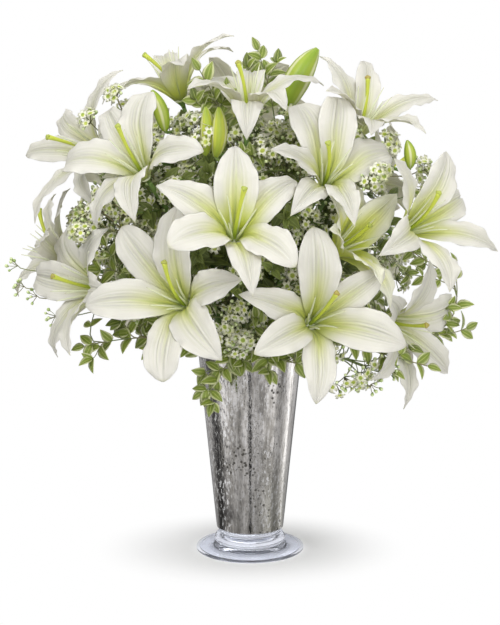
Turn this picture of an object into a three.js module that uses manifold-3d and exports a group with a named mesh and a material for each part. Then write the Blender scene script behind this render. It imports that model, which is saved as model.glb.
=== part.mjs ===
// Cut lilies with wax flowers and foliage in a silvered glass vase on a clear glass foot.
// Millimetres, +Z up. The origin is the centre of the underside of the foot.
import * as THREE from 'three';
import { mergeVertices } from 'three/addons/utils/BufferGeometryUtils.js';
import Module from 'manifold-3d';

const wasm = await Module();
wasm.setup();

// Vase
const VASE_SIDES = 24;
const FOOT_RADIUS = 58.6;
const CUP_SEAT_Z = 24;
const CUP_SEAT_RADIUS = 32.5;
const CUP_BASE_RADIUS = 36.6;
const CUP_BASE_Z = 28;
const RIM_RADIUS = 56;
const RIM_Z = 221.5;
const CUP_FLOOR_Z = 31;
const CUP_WALL = 3.4;
const WATER_Z = 165;
const WATER_SIDES = 16;

// Stems
const MOUTH_Z = 221;
const STEM_FOOT_Z = 31.5;
const TWIG_FOOT_Z = 140;
const STEM_TWIST = 20;
const STEM_FOOT_RING = 15;
const STEM_MOUTH_RING = 33;
const STEM_RADIUS = 3.0;
const PEDICEL_RADIUS = 2.2;
const TWIG_RADIUS = 1.3;
const BRANCH_RADIUS = 0.9;
const SPRIG_RADIUS = 1.1;
const BUD_STALK_RADIUS = 1.8;
const HOLE_GAP = 0.4;
const STEM_SIDES = 5;
const STEM_STEPS = 5;
const BUD_SIDES = 6;
const TWIG_SIDES = 3;
const TWIG_STEPS = 4;
const STALK_SHARES = [0, 0.25, 0.5, 0.75];
const BRANCH_SHARES = [0, 0.5];

// Blooms
const PETAL_THICK = 0.8;
const FRONT_ROOT = 4.8;
const BACK_ROOT = 6.0;
const PETAL_ROOT_HALF = 2.0;
const PETAL_OPEN_START = 22;
const PETAL_CURL = 15;
const CURL_START = 0.55;
const SWING_END = 0.55;
const FRONT_CHANNEL = 0.35;
const BACK_CHANNEL = 0.12;
const LAYER_STEP = 0.8;
const WAVE_HIGH = 2.5;
const WAVE_COUNT = 2.2;
const SPINE_STEPS = 32;
const FINE_ROWS = [0, 0.16, 0.36, 0.58, 0.8, 1];
const PLAIN_ROWS = [0, 0.2, 0.45, 0.74, 1];
const OUTER_HALF_WIDTH = 18;
const COLLAR_HOLE = 3.0;
const COLLAR_OUTER = 5.4;
const COLLAR_LOW = -2;
const STYLE_RADIUS = 1.6;
const STIGMA_RADIUS = 3.3;
const CUP_TOP = -2.3;
const CUP_LONG = 7;
const CUP_WIDE = 4.8;
// Share of a bud's greatest radius, and of its length.
const BUD_PROFILE = [[0.3, 0], [0.62, 0.08], [1, 0.4], [0.86, 0.7], [0.34, 0.96], [0, 1]];
const FILAMENT_LONG = 54;
const FILAMENT_LEAN = 15;

// Wax flowers and foliage
const FLORET_RADIUS = 6.2;
const FLORET_NOTCH = 0.56;
const FLORET_DIP = 1.2;
const FLORET_NECK = 2.6;
const FLORET_STALK = 0.65;
const FLORET_VARIES = 0.12;
const HUB_RADIUS = 2.0;
const SPRIG_LEAF = 19;
const LEAF_THICK = 0.8;
const LEAF_ANGLE = 0.7;
const LEAF_DROOP = 0.5;
const LEAF_FOLD = 0.3;
const LONG_LEAF = [[0, 0], [0.3, 0.95], [0.68, 0.8], [1, 0]];
const LEAF_WIDEST = 0.42;
const LEAF_TIP_DROP = 0.12;
const LEAF_SLIM = 0.3;
const LAST_LEAVES = 0.97;
const LEAF_FOOT = 1.4;

const DEG = Math.PI / 180;
const WHITE = 0xf1efe6;
const GREEN = 0x7f9a3a;
const WAX_WHITE = 0xe6e8cc;
const LEAF_GREEN = 0x5d7a35;
const SILVER = 0xb9b5ad;
const CLEAR = 0xdfe7ea;
const WATER = 0xcfdcda;

// Each petal is turn, opening angle, length and half width, in degrees and millimetres.
const blooms = [
  { name: '01', at: [-63, -140, 287], facing: [-23, 21], style: [68, 22, 84], fine: true,
    petals: [[10, 83, 102, 21], [88, 93, 105, 16], [133, 103, 104, 22], [191, 100, 102, 18],
      [277, 100, 100, 21],
      [318, 106, 105, 22]] },
  { name: '02', at: [-15, -165, 354], facing: [5, 37], style: [70, 9, 60], fine: true,
    petals: [[39, 127, 92, 19], [88, 112, 97, 22], [154, 108, 96, 20], [214, 82, 98, 22], [277, 107, 101, 15],
      [309, 91, 96, 20]] },
  { name: '03', at: [58, -150, 270], facing: [16, 20], style: [64, 16, 62], fine: true,
    petals: [[31, 125, 100, 16], [91, 100, 101, 22], [165, 98, 100, 16], [206, 90, 101, 18],
      [259, 102, 101, 17],
      [336, 98, 102, 22]] },
  { name: '04', at: [-104, -95, 409], facing: [-30, 39], style: [70, 7, 70],
    petals: [[3, 108, 99, 18], [97, 112, 94, 21], [132, 122, 98, 17], [186, 128, 96, 22], [250, 150, 88, 13],
      [297, 115, 102, 17]] },
  { name: '05', at: [-152, -5, 426], facing: [-53, 21], style: [70, 4, 246],
    petals: [[13, 115, 98, 14], [72, 125, 105, 14], [151, 135, 98, 15], [193, 96, 100, 15], [257, 103, 110, 12],
      [315, 119, 101, 14]] },
  { name: '06', at: [-150, -62, 292], facing: [-55, 11], style: [60, 6, 90],
    petals: [[2, 100, 98, 16], [50, 111, 96, 17], [133, 130, 94, 21], [178, 111, 97, 21], [248, 125, 97, 16],
      [302, 90, 97, 16]] },
  { name: '07', at: [-190, 5, 313], facing: [-77, 29], style: [66, 30, 90],
    petals: [[13, 95, 92, 14], [67, 93, 89, 16], [133, 95, 92, 14], [187, 115, 91, 15], [236, 115, 87, 14],
      [333, 162, 75, 12]] },
  { name: '08', at: [-73, 10, 485], facing: [-71, 68], style: [60, 18, 262],
    petals: [[50, 99, 98, 14], [106, 126, 98, 13], [165, 104, 98, 15], [236, 126, 99, 14], [290, 125, 98, 14],
      [355, 105, 98, 17]] },
  { name: '09', at: [-3, -60, 466], facing: [4, 72], style: [60, 11, 205],
    petals: [[17, 121, 97, 15], [82, 144, 97, 15], [123, 153, 95, 15], [217, 95, 93, 17], [266, 155, 100, 16],
      [293, 114, 96, 15]] },
  { name: '10', at: [73, -100, 401], facing: [14, 36], style: [64, 11, 150],
    petals: [[20, 143, 90, 21], [76, 117, 100, 20], [104, 131, 99, 22], [184, 63, 99, 15], [229, 97, 100, 15],
      [272, 88, 99, 16]] },
  { name: '11', at: [111, -30, 449], facing: [33, 57], style: [64, 11, 134],
    petals: [[-4, 95, 98, 14], [64, 100, 98, 14], [106, 91, 95, 14], [190, 74, 96, 14], [236, 95, 98, 15],
      [282, 86, 94, 15]] },
  { name: '12', at: [153, -105, 355], facing: [39, 24], style: [64, 16, 105], fine: true, front: 1,
    petals: [[20, 146, 99, 17], [55, 105, 98, 18], [137, 68, 101, 17], [202, 111, 103, 17], [255, 85, 101, 21],
      [330, 98, 99, 14]] },
  { name: '13', at: [83, -105, 335], facing: [45, 28], style: [52, 6, 60],
    petals: [[31, 75, 88, 18], [64, 105, 79, 20], [142, 62, 84, 13], [179, 64, 89, 12], [248, 65, 88, 15],
      [286, 119, 87, 17]] },
  { name: '14', at: [140, -45, 258], facing: [45, -10], style: [60, 13, 118],
    petals: [[15, 131, 96, 20], [96, 88, 96, 20], [145, 95, 100, 15], [209, 92, 101, 14], [266, 94, 99, 15],
      [320, 100, 100, 16]] },
  { name: '15', at: [118, 70, 395], facing: [95, 18], style: [62, 8, 70],
    petals: [[20, 98, 96, 19], [85, 108, 96, 15], [136, 98, 96, 19], [200, 110, 96, 15], [266, 98, 96, 19],
      [320, 106, 96, 15]] },
  { name: '16', at: [-112, 105, 392], facing: [-140, 20], style: [62, 8, 90],
    petals: [[4, 100, 98, 20], [60, 108, 98, 16], [114, 105, 98, 20], [183, 100, 98, 16], [240, 110, 98, 20],
      [296, 100, 98, 16]] },
  { name: '17', at: [8, 150, 350], facing: [178, 25], style: [64, 10, 60],
    petals: [[30, 107, 98, 21], [96, 102, 98, 16], [147, 102, 98, 21], [210, 110, 98, 16], [274, 102, 98, 21],
      [330, 102, 98, 16]] },
  { name: '18', at: [-78, 138, 262], facing: [-155, 8], style: [62, 12, 105],
    petals: [[15, 98, 98, 20], [79, 104, 98, 16], [135, 98, 98, 20], [190, 102, 98, 16], [255, 98, 98, 20],
      [318, 98, 98, 16]] },
  { name: '19', at: [92, 132, 268], facing: [148, 8], style: [62, 12, 75],
    petals: [[45, 100, 98, 20], [108, 100, 98, 16], [159, 106, 98, 20], [225, 100, 98, 16], [290, 100, 98, 20],
      [345, 105, 98, 16]] },
  { name: '20', at: [-12, 92, 455], facing: [172, 48], style: [62, 8, 100],
    petals: [[10, 104, 96, 19], [70, 112, 96, 15], [135, 104, 96, 19], [190, 104, 96, 15], [245, 110, 96, 19],
      [310, 104, 96, 15]] },
];

// A lily stem leaves the mouth at an angle and ends at its top bloom. Side stalks join it at a share of its curve.
// A stalk to a bloom holds the two middle points of its curve. A bud has its base and its tip as well.
// Leaves are share of the curve, turn about the stem, length and half width.
const stems = [
  { name: 'a', mouth: 172, top: '08', via: [[-41, 3, 307], [-49, 8, 405]],
    sides: [{ bloom: '05', from: 0.71, via: [[-64, 10, 428], [-128, 19, 410]] },
      { bloom: '07', from: 0.34, via: [[-52, 3, 321], [-134, 15, 287]] }],
    buds: [{ from: 0.9, via: [[-62, 7, 462], [-85, -48, 447]], base: [-86, -52, 453], tip: [-99, -56, 494],
      wide: 7.5 }],
    leaves: [[0.22, 200, 62, 8], [0.5, 40, 58, 7]] },
  { name: 'b', mouth: 214, top: '04', via: [[-32, -23, 283], [-72, -62, 354]],
    sides: [{ bloom: '06', from: 0.52, via: [[-65, -44, 332], [-129, -52, 289]] }],
    buds: [],
    leaves: [[0.25, 250, 60, 8], [0.4, 100, 56, 7]] },
  { name: 'c', mouth: 262, top: '09', via: [[-3, -42, 314], [-5, -50, 397]],
    sides: [{ bloom: '02', from: 0.43, via: [[3, -51, 355], [-20, -106, 332]] },
      { bloom: '01', from: 0.3, via: [[0, -44, 304], [-50, -109, 281]] }],
    buds: [{ from: 0.89, via: [[-4, -58, 442], [-43, -74, 420]], base: [-45, -78, 429], tip: [-44, -82, 477],
      wide: 6.8 },
      { from: 0.82, via: [[-5, -54, 434], [-31, -88, 417]], base: [-34, -88, 428], tip: [-31, -92, 477],
        wide: 6.8 }],
    leaves: [[0.2, 20, 58, 8], [0.6, 180, 56, 7]] },
  { name: 'd', mouth: 302, top: '10', via: [[23, -33, 296], [49, -56, 359]],
    sides: [{ bloom: '13', from: 0.75, via: [[61, -74, 371], [63, -82, 320]] },
      { bloom: '03', from: 0.3, via: [[35, -47, 291], [44, -116, 258]] }],
    buds: [{ from: 0.88, via: [[66, -91, 393], [33, -9, 459]], base: [37, -12, 476], tip: [70, -14, 537],
      wide: 13.5 }],
    leaves: [[0.22, 334, 60, 8]] },
  { name: 'e', mouth: 344, top: '11', via: [[43, -9, 327], [89, -9, 402]],
    sides: [{ bloom: '12', from: 0.61, via: [[80, -21, 394], [134, -90, 352]] },
      { bloom: '14', from: 0.16, via: [[56, -8, 277], [113, -32, 253]] }],
    buds: [{ from: 0.91, via: [[108, -23, 439], [159, -59, 402]], base: [162, -62, 416],
      tip: [158, -66, 444], wide: 6.0 }],
    leaves: [[0.35, 54, 60, 8], [0.5, 300, 56, 7]] },
  { name: 'f', mouth: 133, top: '16', via: [[-29, 28, 297], [-64, 52, 356]],
    sides: [{ bloom: '18', from: 0.28, via: [[-39, 33, 284], [-63, 91, 259]] }],
    buds: [],
    leaves: [[0.4, 100, 60, 8], [0.55, 260, 56, 7]] },
  { name: 'g', mouth: 92, top: '20', via: [[-4, 43, 325], [-14, 54, 397]],
    sides: [{ bloom: '17', from: 0.51, via: [[-8, 62, 370], [11, 113, 341]] }],
    buds: [],
    leaves: [[0.3, 180, 60, 8], [0.62, 20, 56, 7]] },
  { name: 'h', mouth: 50, top: '15', via: [[25, 33, 304], [60, 56, 362]],
    sides: [{ bloom: '19', from: 0.27, via: [[31, 35, 289], [43, 64, 258]] }],
    buds: [],
    leaves: [[0.35, 26, 60, 8], [0.5, 200, 56, 7]] },
];

// A wax flower spray leaves the mouth at an angle and ring radius. Each umbel has its root, the way it faces,
// its number of florets, its radius and its spread. The first one ends the main twig.
const sprays = [
  { name: '1', mouth: [193, 37, 45], via: [[-70, -13, 277], [-104, -50, 331]],
    umbels: [{ root: [-146, -105, 375], facing: [-0.54, -0.78, 0.31], florets: [4, 15, 55] },
      { from: 0.78, via: [[-135, -96, 366], [-131, -87, 347]], root: [-164, -101, 354],
        facing: [-0.52, -0.73, 0.27],
        florets: [4, 14, 55] },
      { from: 0.74, via: [[-120, -81, 359], [-126, -91, 375]], root: [-134, -110, 383],
        facing: [-0.49, -0.8, 0.34],
        florets: [3, 14, 50] }] },
  { name: '2', mouth: [153, 37, 45], via: [[-57, 20, 332], [-111, -6, 414]],
    umbels: [{ root: [-135, -45, 486], facing: [-0.43, -0.56, 0.67], florets: [3, 13, 50] },
      { from: 0.45, via: [[-97, -2, 404], [-101, 9, 391]], root: [-163, -39, 461], facing: [-0.64, -0.61, 0.66],
        florets: [3, 14, 60] },
      { from: 0.74, via: [[-112, -15, 429], [-77, -14, 440]], root: [-64, -34, 453],
        facing: [-0.29, -0.61, 0.77],
        florets: [4, 16, 55] }] },
  { name: '3', mouth: [238, 10, 20], via: [[-21, -36, 308], [-46, -38, 368]],
    umbels: [{ root: [-64, -61, 405], facing: [-0.33, -0.74, 0.58], florets: [3, 14, 50] },
      { from: 0.83, via: [[-61, -52, 392], [-74, -44, 376]], root: [-88, -54, 373], facing: [-0.5, -0.74, 0.45],
        florets: [4, 15, 55] },
      { from: 0.81, via: [[-44, -51, 381], [-45, -56, 392]], root: [-43, -63, 405], facing: [-0.23, -0.76, 0.6],
        florets: [3, 13, 50] },
      { from: 0.77, via: [[-51, -55, 381], [-75, -81, 344]], root: [-92, -80, 354],
        facing: [-0.47, -0.83, 0.31],
        florets: [3, 13, 50] }] },
  { name: '4', mouth: [300, 10, 20], via: [[21, -29, 267], [37, -36, 339]],
    umbels: [{ root: [51, -54, 384], facing: [0.31, -0.77, 0.55], florets: [3, 14, 50] },
      { from: 0.83, via: [[36, -58, 365], [41, -77, 361]], root: [43, -79, 355], facing: [0.25, -0.9, 0.36],
        florets: [4, 14, 55] },
      { from: 0.83, via: [[52, -51, 386], [34, -24, 426]], root: [25, -23, 449], facing: [0.13, -0.56, 0.82],
        florets: [3, 13, 50] }] },
  { name: '5', mouth: [262, 39, 46], via: [[1, -52, 242], [0, -79, 258]],
    umbels: [{ root: [-11, -107, 278], facing: [-0.06, -0.99, -0.08], florets: [4, 14, 55] },
      { from: 0.82, via: [[-8, -94, 264], [-14, -90, 251]], root: [-8, -98, 249], facing: [-0.05, -0.97, -0.25],
        florets: [4, 14, 55] }] },
  { name: '6', mouth: [17, 37, 45], via: [[53, 10, 287], [89, -10, 377]],
    umbels: [{ root: [137, -60, 437], facing: [0.52, -0.64, 0.56], florets: [4, 15, 55] },
      { from: 0.84, via: [[117, -53, 417], [92, -59, 441]], root: [87, -71, 451], facing: [0.35, -0.69, 0.64],
        florets: [3, 14, 50] },
      { from: 0.83, via: [[113, -44, 412], [109, -78, 421]], root: [126, -117, 412], facing: [0.3, -0.83, 0.56],
        florets: [3, 12, 50] },
      { from: 0.84, via: [[131, -45, 409], [161, -42, 403]], root: [172, -43, 412], facing: [0.67, -0.58, 0.47],
        florets: [4, 14, 55] }] },
  { name: '7', mouth: [302, 39, 46], via: [[36, -44, 238], [96, -66, 223]],
    umbels: [{ root: [116, -84, 217], facing: [0.52, -0.79, -0.33], florets: [4, 16, 60] },
      { from: 0.85, via: [[104, -84, 222], [104, -93, 215]], root: [95, -99, 208], facing: [0.41, -0.84, -0.36],
        florets: [4, 14, 55] }] },
  { name: '8', mouth: [112, 10, 20], via: [[-11, 42, 286], [-28, 91, 365]],
    umbels: [{ root: [-51, 140, 420], facing: [-0.29, 0.68, 0.68], florets: [4, 16, 55] },
      { from: 0.6, via: [[-32, 93, 350], [-75, 82, 316]], root: [-137, 89, 327], facing: [-0.88, 0.44, 0.18],
        florets: [3, 16, 55] },
      { from: 0.57, via: [[-30, 82, 332], [-14, 139, 279]], root: [-18, 167, 272], facing: [-0.12, 0.98, -0.18],
        florets: [4, 15, 55] }] },
  { name: '9', mouth: [60, 10, 20], via: [[20, 31, 273], [42, 73, 360]],
    umbels: [{ root: [60, 131, 420], facing: [0.34, 0.64, 0.69], florets: [4, 16, 55] },
      { from: 0.71, via: [[52, 88, 364], [108, 64, 328]], root: [142, 89, 318], facing: [0.89, 0.43, 0.12],
        florets: [3, 16, 55] },
      { from: 0.81, via: [[53, 117, 383], [46, 130, 344]], root: [51, 158, 341], facing: [0.33, 0.9, 0.27],
        florets: [3, 15, 55] }] },
];

// A leafy sprig leaves the mouth at an angle and ring radius. Its leaves start at a share of its curve.
const sprigs = [
  { name: '01', mouth: [228, 37, 45], via: [[-44, -29, 230], [-89, -68, 254]], tip: [-170, -66, 234],
    leafy: 0.6, pairs: 3 },
  { name: '02', mouth: [246, 40, 47], via: [[-20, -42, 264], [-8, -85, 214]], tip: [-48, -76, 188],
    leafy: 0.5, pairs: 3 },
  { name: '03', mouth: [285, 40, 47], via: [[10, -43, 246], [-15, -83, 225]], tip: [53, -84, 219],
    leafy: 0.5, pairs: 3 },
  { name: '04', mouth: [0, 10, 20], via: [[31, -11, 341], [43, 19, 440]], tip: [8, 5, 536], leafy: 0.86,
    pairs: 2 },
  { name: '05', mouth: [180, 10, 20], via: [[-38, -5, 335], [29, -18, 384]], tip: [-51, -47, 514],
    leafy: 0.88, pairs: 2 },
  { name: '06', mouth: [330, 10, 20], via: [[11, -2, 247], [33, -70, 360]], tip: [12, -60, 436], leafy: 0.6,
    pairs: 3 },
  { name: '07', mouth: [205, 37, 46], via: [[-43, -11, 255], [-89, -100, 223]], tip: [-143, -102, 341],
    leafy: 0.8, pairs: 2 },
  { name: '08', mouth: [355, 37, 46], via: [[42, -9, 317], [246, -19, 152]], tip: [215, -22, 312],
    leafy: 0.8, pairs: 3 },
  { name: '09', mouth: [329, 37, 46], via: [[54, -5, 285], [167, -37, 220]], tip: [228, -24, 246],
    leafy: 0.82, pairs: 2 },
  { name: '10', mouth: [318, 39, 46], via: [[40, -29, 251], [55, -77, 250]], tip: [180, -87, 217],
    leafy: 0.8, pairs: 2 },
  { name: '11', mouth: [125, 37, 46], via: [[-24, 38, 271], [-77, 81, 261]], tip: [-152, 118, 262],
    leafy: 0.6, pairs: 3 },
  { name: '12', mouth: [72, 37, 46], via: [[12, 39, 251], [69, 81, 247]], tip: [150, 122, 262], leafy: 0.6,
    pairs: 3 },
  { name: '13', mouth: [96, 39, 47], via: [[0, 86, 256], [4, 83, 234]], tip: [-8, 98, 196], leafy: 0.5,
    pairs: 3 },
];

const vec = (p) => new THREE.Vector3(...p);

// A closed geometry becomes a solid once the vertices that share a place are one.
function solid(geometry) {
  const shape = geometry.clone();
  shape.deleteAttribute('normal');
  shape.deleteAttribute('uv');
  const merged = mergeVertices(shape, 1e-4);
  const index = Array.from(merged.index.array);
  const kept = [];
  for (let i = 0; i < index.length; i += 3) {
    const [a, b, c] = index.slice(i, i + 3);
    if (a !== b && b !== c && c !== a) {
      kept.push(a, b, c);
    }
  }
  const vertProperties = Float32Array.from(merged.attributes.position.array);
  const triVerts = Uint32Array.from(kept);
  return new wasm.Manifold(new wasm.Mesh({ numProp: 3, vertProperties, triVerts }));
}

function join(parts) {
  return parts.slice(1).reduce((sum, part) => sum.add(part), parts[0]);
}

function geometryOf(body) {
  const mesh = body.getMesh();
  const count = mesh.vertProperties.length / mesh.numProp;
  const positions = new Float32Array(count * 3);
  for (let i = 0; i < count; i += 1) {
    positions.set(mesh.vertProperties.subarray(i * mesh.numProp, i * mesh.numProp + 3), i * 3);
  }
  const geometry = new THREE.BufferGeometry();
  geometry.setAttribute('position', new THREE.BufferAttribute(positions, 3));
  geometry.setIndex(new THREE.BufferAttribute(Uint32Array.from(mesh.triVerts), 1));
  geometry.computeVertexNormals();
  return geometry;
}

function meshOf(name, geometry, colour, roughness, metalness = 0) {
  const material = new THREE.MeshStandardMaterial({ color: colour, roughness, metalness, flatShading: true });
  const mesh = new THREE.Mesh(geometry, material);
  mesh.name = name;
  return mesh;
}

// The two faces and the edges of a blade from one row to the last. Both faces split alike, and the tip is a point.
// vertex(face, row, column) gives a vertex number for face 0 or 1 and column 0, 1 or 2.
function bladeFaces(vertex, last, triangle) {
  for (let row = 0; row < last; row += 1) {
    for (let column = 0; column < 2; column += 1) {
      for (let face = 0; face < 2; face += 1) {
        const a = vertex(face, row, column);
        const b = vertex(face, row + 1, column);
        const c = vertex(face, row + 1, column + 1);
        const d = vertex(face, row, column + 1);
        const corners = column === 0 ? [[a, c, b], [a, d, c]] : [[a, d, b], [b, d, c]];
        for (const [p, q, r] of corners) {
          triangle(p, face === 0 ? q : r, face === 0 ? r : q);
        }
      }
    }
    const left = [vertex(0, row, 0), vertex(0, row + 1, 0), vertex(1, row + 1, 0), vertex(1, row, 0)];
    const right = [vertex(0, row + 1, 2), vertex(0, row, 2), vertex(1, row, 2), vertex(1, row + 1, 2)];
    for (const [p, q, r, s] of [left, right]) {
      triangle(p, q, r);
      triangle(p, r, s);
    }
  }
}

// Collects shared vertices by name and the triangles between them.
function builder() {
  const positions = [];
  const index = [];
  const place = new Map();
  const vertex = (key, point) => {
    if (!place.has(key)) {
      place.set(key, positions.length / 3);
      positions.push(...point().toArray());
    }
    return place.get(key);
  };
  const triangle = (a, b, c) => {
    if (a !== b && b !== c && c !== a) {
      index.push(a, b, c);
    }
  };
  const geometry = () => {
    const made = new THREE.BufferGeometry();
    made.setAttribute('position', new THREE.Float32BufferAttribute(positions, 3));
    made.setIndex(index);
    return made;
  };
  return { vertex, triangle, geometry };
}

function outwards(body) {
  const mesh = body.getMesh();
  if (body.volume() > 0) {
    return body;
  }
  const turned = Uint32Array.from(mesh.triVerts);
  for (let i = 0; i < turned.length; i += 3) {
    [turned[i + 1], turned[i + 2]] = [turned[i + 2], turned[i + 1]];
  }
  return new wasm.Manifold(new wasm.Mesh({ numProp: 3, vertProperties: mesh.vertProperties,
    triVerts: turned }));
}

// A bar through a row of rings, each with its place, radius and, if set, direction. A radius of 0 is a point.
// The sides are kept in line along it. It gives back the corners of each ring, and leaves out the faces
// that something else grows from.
function bar(build, name, rings, sides, grown = () => false) {
  const last = rings.length - 1;
  const ahead = rings.map(({ way }, i) => way
    || rings[Math.min(i + 1, last)].at.clone().sub(rings[Math.max(i - 1, 0)].at).normalize());
  const corners = [];
  let across = turned(ahead[0], 0);
  rings.forEach(({ at, radius }, i) => {
    across = across.clone().addScaledVector(ahead[i], -across.dot(ahead[i])).normalize();
    const up = ahead[i].clone().cross(across);
    const ring = [];
    for (let k = 0; k < sides; k += 1) {
      const angle = (2 * Math.PI * k) / sides;
      const place = at.clone().addScaledVector(across, radius * Math.cos(angle)).addScaledVector(up,
        radius * Math.sin(angle));
      const key = radius === 0 ? `${name},${i}` : `${name},${i},${k}`;
      ring.push({ place, number: build.vertex(key, () => place) });
    }
    corners.push(ring);
  });
  for (let i = 0; i < last; i += 1) {
    for (let k = 0; k < sides; k += 1) {
      const next = (k + 1) % sides;
      const [low, high] = [corners[i], corners[i + 1]];
      if (!grown(i, k)) {
        build.triangle(low[k].number, low[next].number, high[next].number);
        build.triangle(low[k].number, high[next].number, high[k].number);
      }
    }
  }
  for (let k = 1; k < sides - 1; k += 1) {
    const [start, end] = [corners[0], corners[last]];
    build.triangle(start[0].number, start[k + 1].number, start[k].number);
    build.triangle(end[0].number, end[k].number, end[k + 1].number);
  }
  return corners;
}

function barBody(rings, sides) {
  const build = builder();
  bar(build, 'bar', rings, sides);
  return solid(build.geometry());
}

// Rings of one radius at shares along a curve.
const along = (curve, shares, radius) => shares.map((share) => ({ at: curve.getPoint(share), radius }));

// Even shares of a curve, with the shares where something joins it set in place of those near them.
function sharesWith(steps, joints) {
  const even = [];
  for (let i = 1; i < steps; i += 1) {
    even.push(i / steps);
  }
  const kept = even.filter((share) => joints.every((joint) => Math.abs(joint - share) > 0.6 / steps));
  const apart = joints.filter((joint, i) => joints.findIndex((other) => Math.abs(other - joint) < 0.02) === i);
  return [...kept, ...apart].sort((a, b) => a - b);
}

// A bloom's axis and the two directions across it. Facing is its angle from the front and its rise.
function bloomAxes([around, rise]) {
  const a = around * DEG;
  const e = rise * DEG;
  const axis = new THREE.Vector3(Math.sin(a) * Math.cos(e), -Math.cos(a) * Math.cos(e), Math.sin(e));
  const across = new THREE.Vector3(Math.cos(a), Math.sin(a), 0);
  const up = axis.clone().cross(across);
  return { axis, across, up };
}

function spoke(axes, turn) {
  const a = turn * DEG;
  return axes.across.clone().multiplyScalar(Math.cos(a)).addScaledVector(axes.up, Math.sin(a));
}

// The petal's midline: its angle from the bloom's axis opens steadily, and its tip curls on.
function petalSpine(open, long, root) {
  const spine = [{ angle: PETAL_OPEN_START * DEG, out: root, rise: 0 }];
  const step = long / SPINE_STEPS;
  for (let i = 1; i <= SPINE_STEPS; i += 1) {
    const t = i / SPINE_STEPS;
    const tip = Math.max(0, (t - CURL_START) / (1 - CURL_START)) ** 1.6;
    const angle = (PETAL_OPEN_START + (open - PETAL_OPEN_START) * t ** 1.1 + PETAL_CURL * tip) * DEG;
    const before = spine[i - 1];
    const out = before.out + (step * (Math.sin(angle) + Math.sin(before.angle))) / 2;
    const rise = before.rise + (step * (Math.cos(angle) + Math.cos(before.angle))) / 2;
    spine.push({ angle, out, rise });
  }
  return spine;
}

function onSpine(spine, t) {
  const place = Math.min(t * SPINE_STEPS, SPINE_STEPS - 1e-6);
  const i = Math.floor(place);
  const f = place - i;
  const mix = (key) => spine[i][key] * (1 - f) + spine[i + 1][key] * f;
  return { angle: mix('angle'), out: mix('out'), rise: mix('rise') };
}

// Share of the full width along a petal. Outer petals are spear-shaped, inner ones broader towards the tip.
function petalWidth(t, outer) {
  const [start, grow, end] = outer ? [0.06, 1.3, 0.8] : [0.06, 1.45, 0.72];
  const peak = (grow - end * start) / (grow + end);
  const raw = (x) => (x + start) ** grow * Math.max(0, 1 - x) ** end;
  return raw(t) / raw(peak);
}

// The six petals start side by side, evenly round the collar, and swing to their own turns further out.
// The three that open less lie in front of the others.
function petalSurfaces(bloom, axes) {
  const turns = bloom.petals.map(([turn]) => turn);
  const mean = turns.reduce((sum, turn, k) => sum + turn - 60 * k, 0) / turns.length;
  const opening = (parity) => bloom.petals.reduce((sum, [, open], k) => sum + (k % 2 === parity ? open : 0), 0);
  const front = bloom.front ?? (opening(0) < opening(1) ? 0 : 1);
  const centre = vec(bloom.at);
  return bloom.petals.map(([turn, open, long, wide], k) => {
    const layer = k % 2 === front ? 1 : -1;
    const spine = petalSpine(open, long, layer > 0 ? FRONT_ROOT : BACK_ROOT);
    const outer = wide < OUTER_HALF_WIDTH;
    const base = mean + 60 * k;
    const phase = 37 * k * DEG;
    const channelled = layer > 0 ? FRONT_CHANNEL : BACK_CHANNEL;
    const pointAt = (t, s, offset) => {
      const swing = Math.min(1, t / SWING_END);
      const here = base + (turn - base) * swing * swing * (3 - 2 * swing);
      const out = spoke(axes, here);
      const side = spoke(axes, here + 90);
      const { angle, out: away, rise } = onSpine(spine, t);
      const inward = out.clone().multiplyScalar(-Math.cos(angle)).addScaledVector(axes.axis, Math.sin(angle));
      const half = Math.max(wide * petalWidth(t, outer), PETAL_ROOT_HALF * Math.max(0, 1 - 4 * t));
      const channel = channelled * (1 - 0.75 * t) * Math.min(1, t * 8);
      const ripple = Math.sin(2 * Math.PI * WAVE_COUNT * t + phase + (s > 0 ? 1.3 : 0));
      const wave = WAVE_HIGH * ripple * Math.min(1, Math.max(0, t - 0.25) * 3) * Math.min(1, (1 - t) * 4);
      const apart = layer * LAYER_STEP * Math.min(1, t * 6);
      const lift = channel * half * Math.abs(s) ** 1.6 + wave * Math.abs(s) ** 2.5 + apart;
      return centre.clone().addScaledVector(out, away).addScaledVector(axes.axis, rise)
        .addScaledVector(side, s * half * (1 - 0.12 * channel)).addScaledVector(inward, lift + offset);
    };
    return { pointAt, base };
  });
}

function filamentTip(centre, axes, turn) {
  const lean = FILAMENT_LEAN * DEG;
  const root = centre.clone().addScaledVector(spoke(axes, turn), FRONT_ROOT - 0.8);
  return root.addScaledVector(axes.axis, FILAMENT_LONG * Math.cos(lean))
    .addScaledVector(spoke(axes, turn), FILAMENT_LONG * Math.sin(lean));
}

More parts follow.
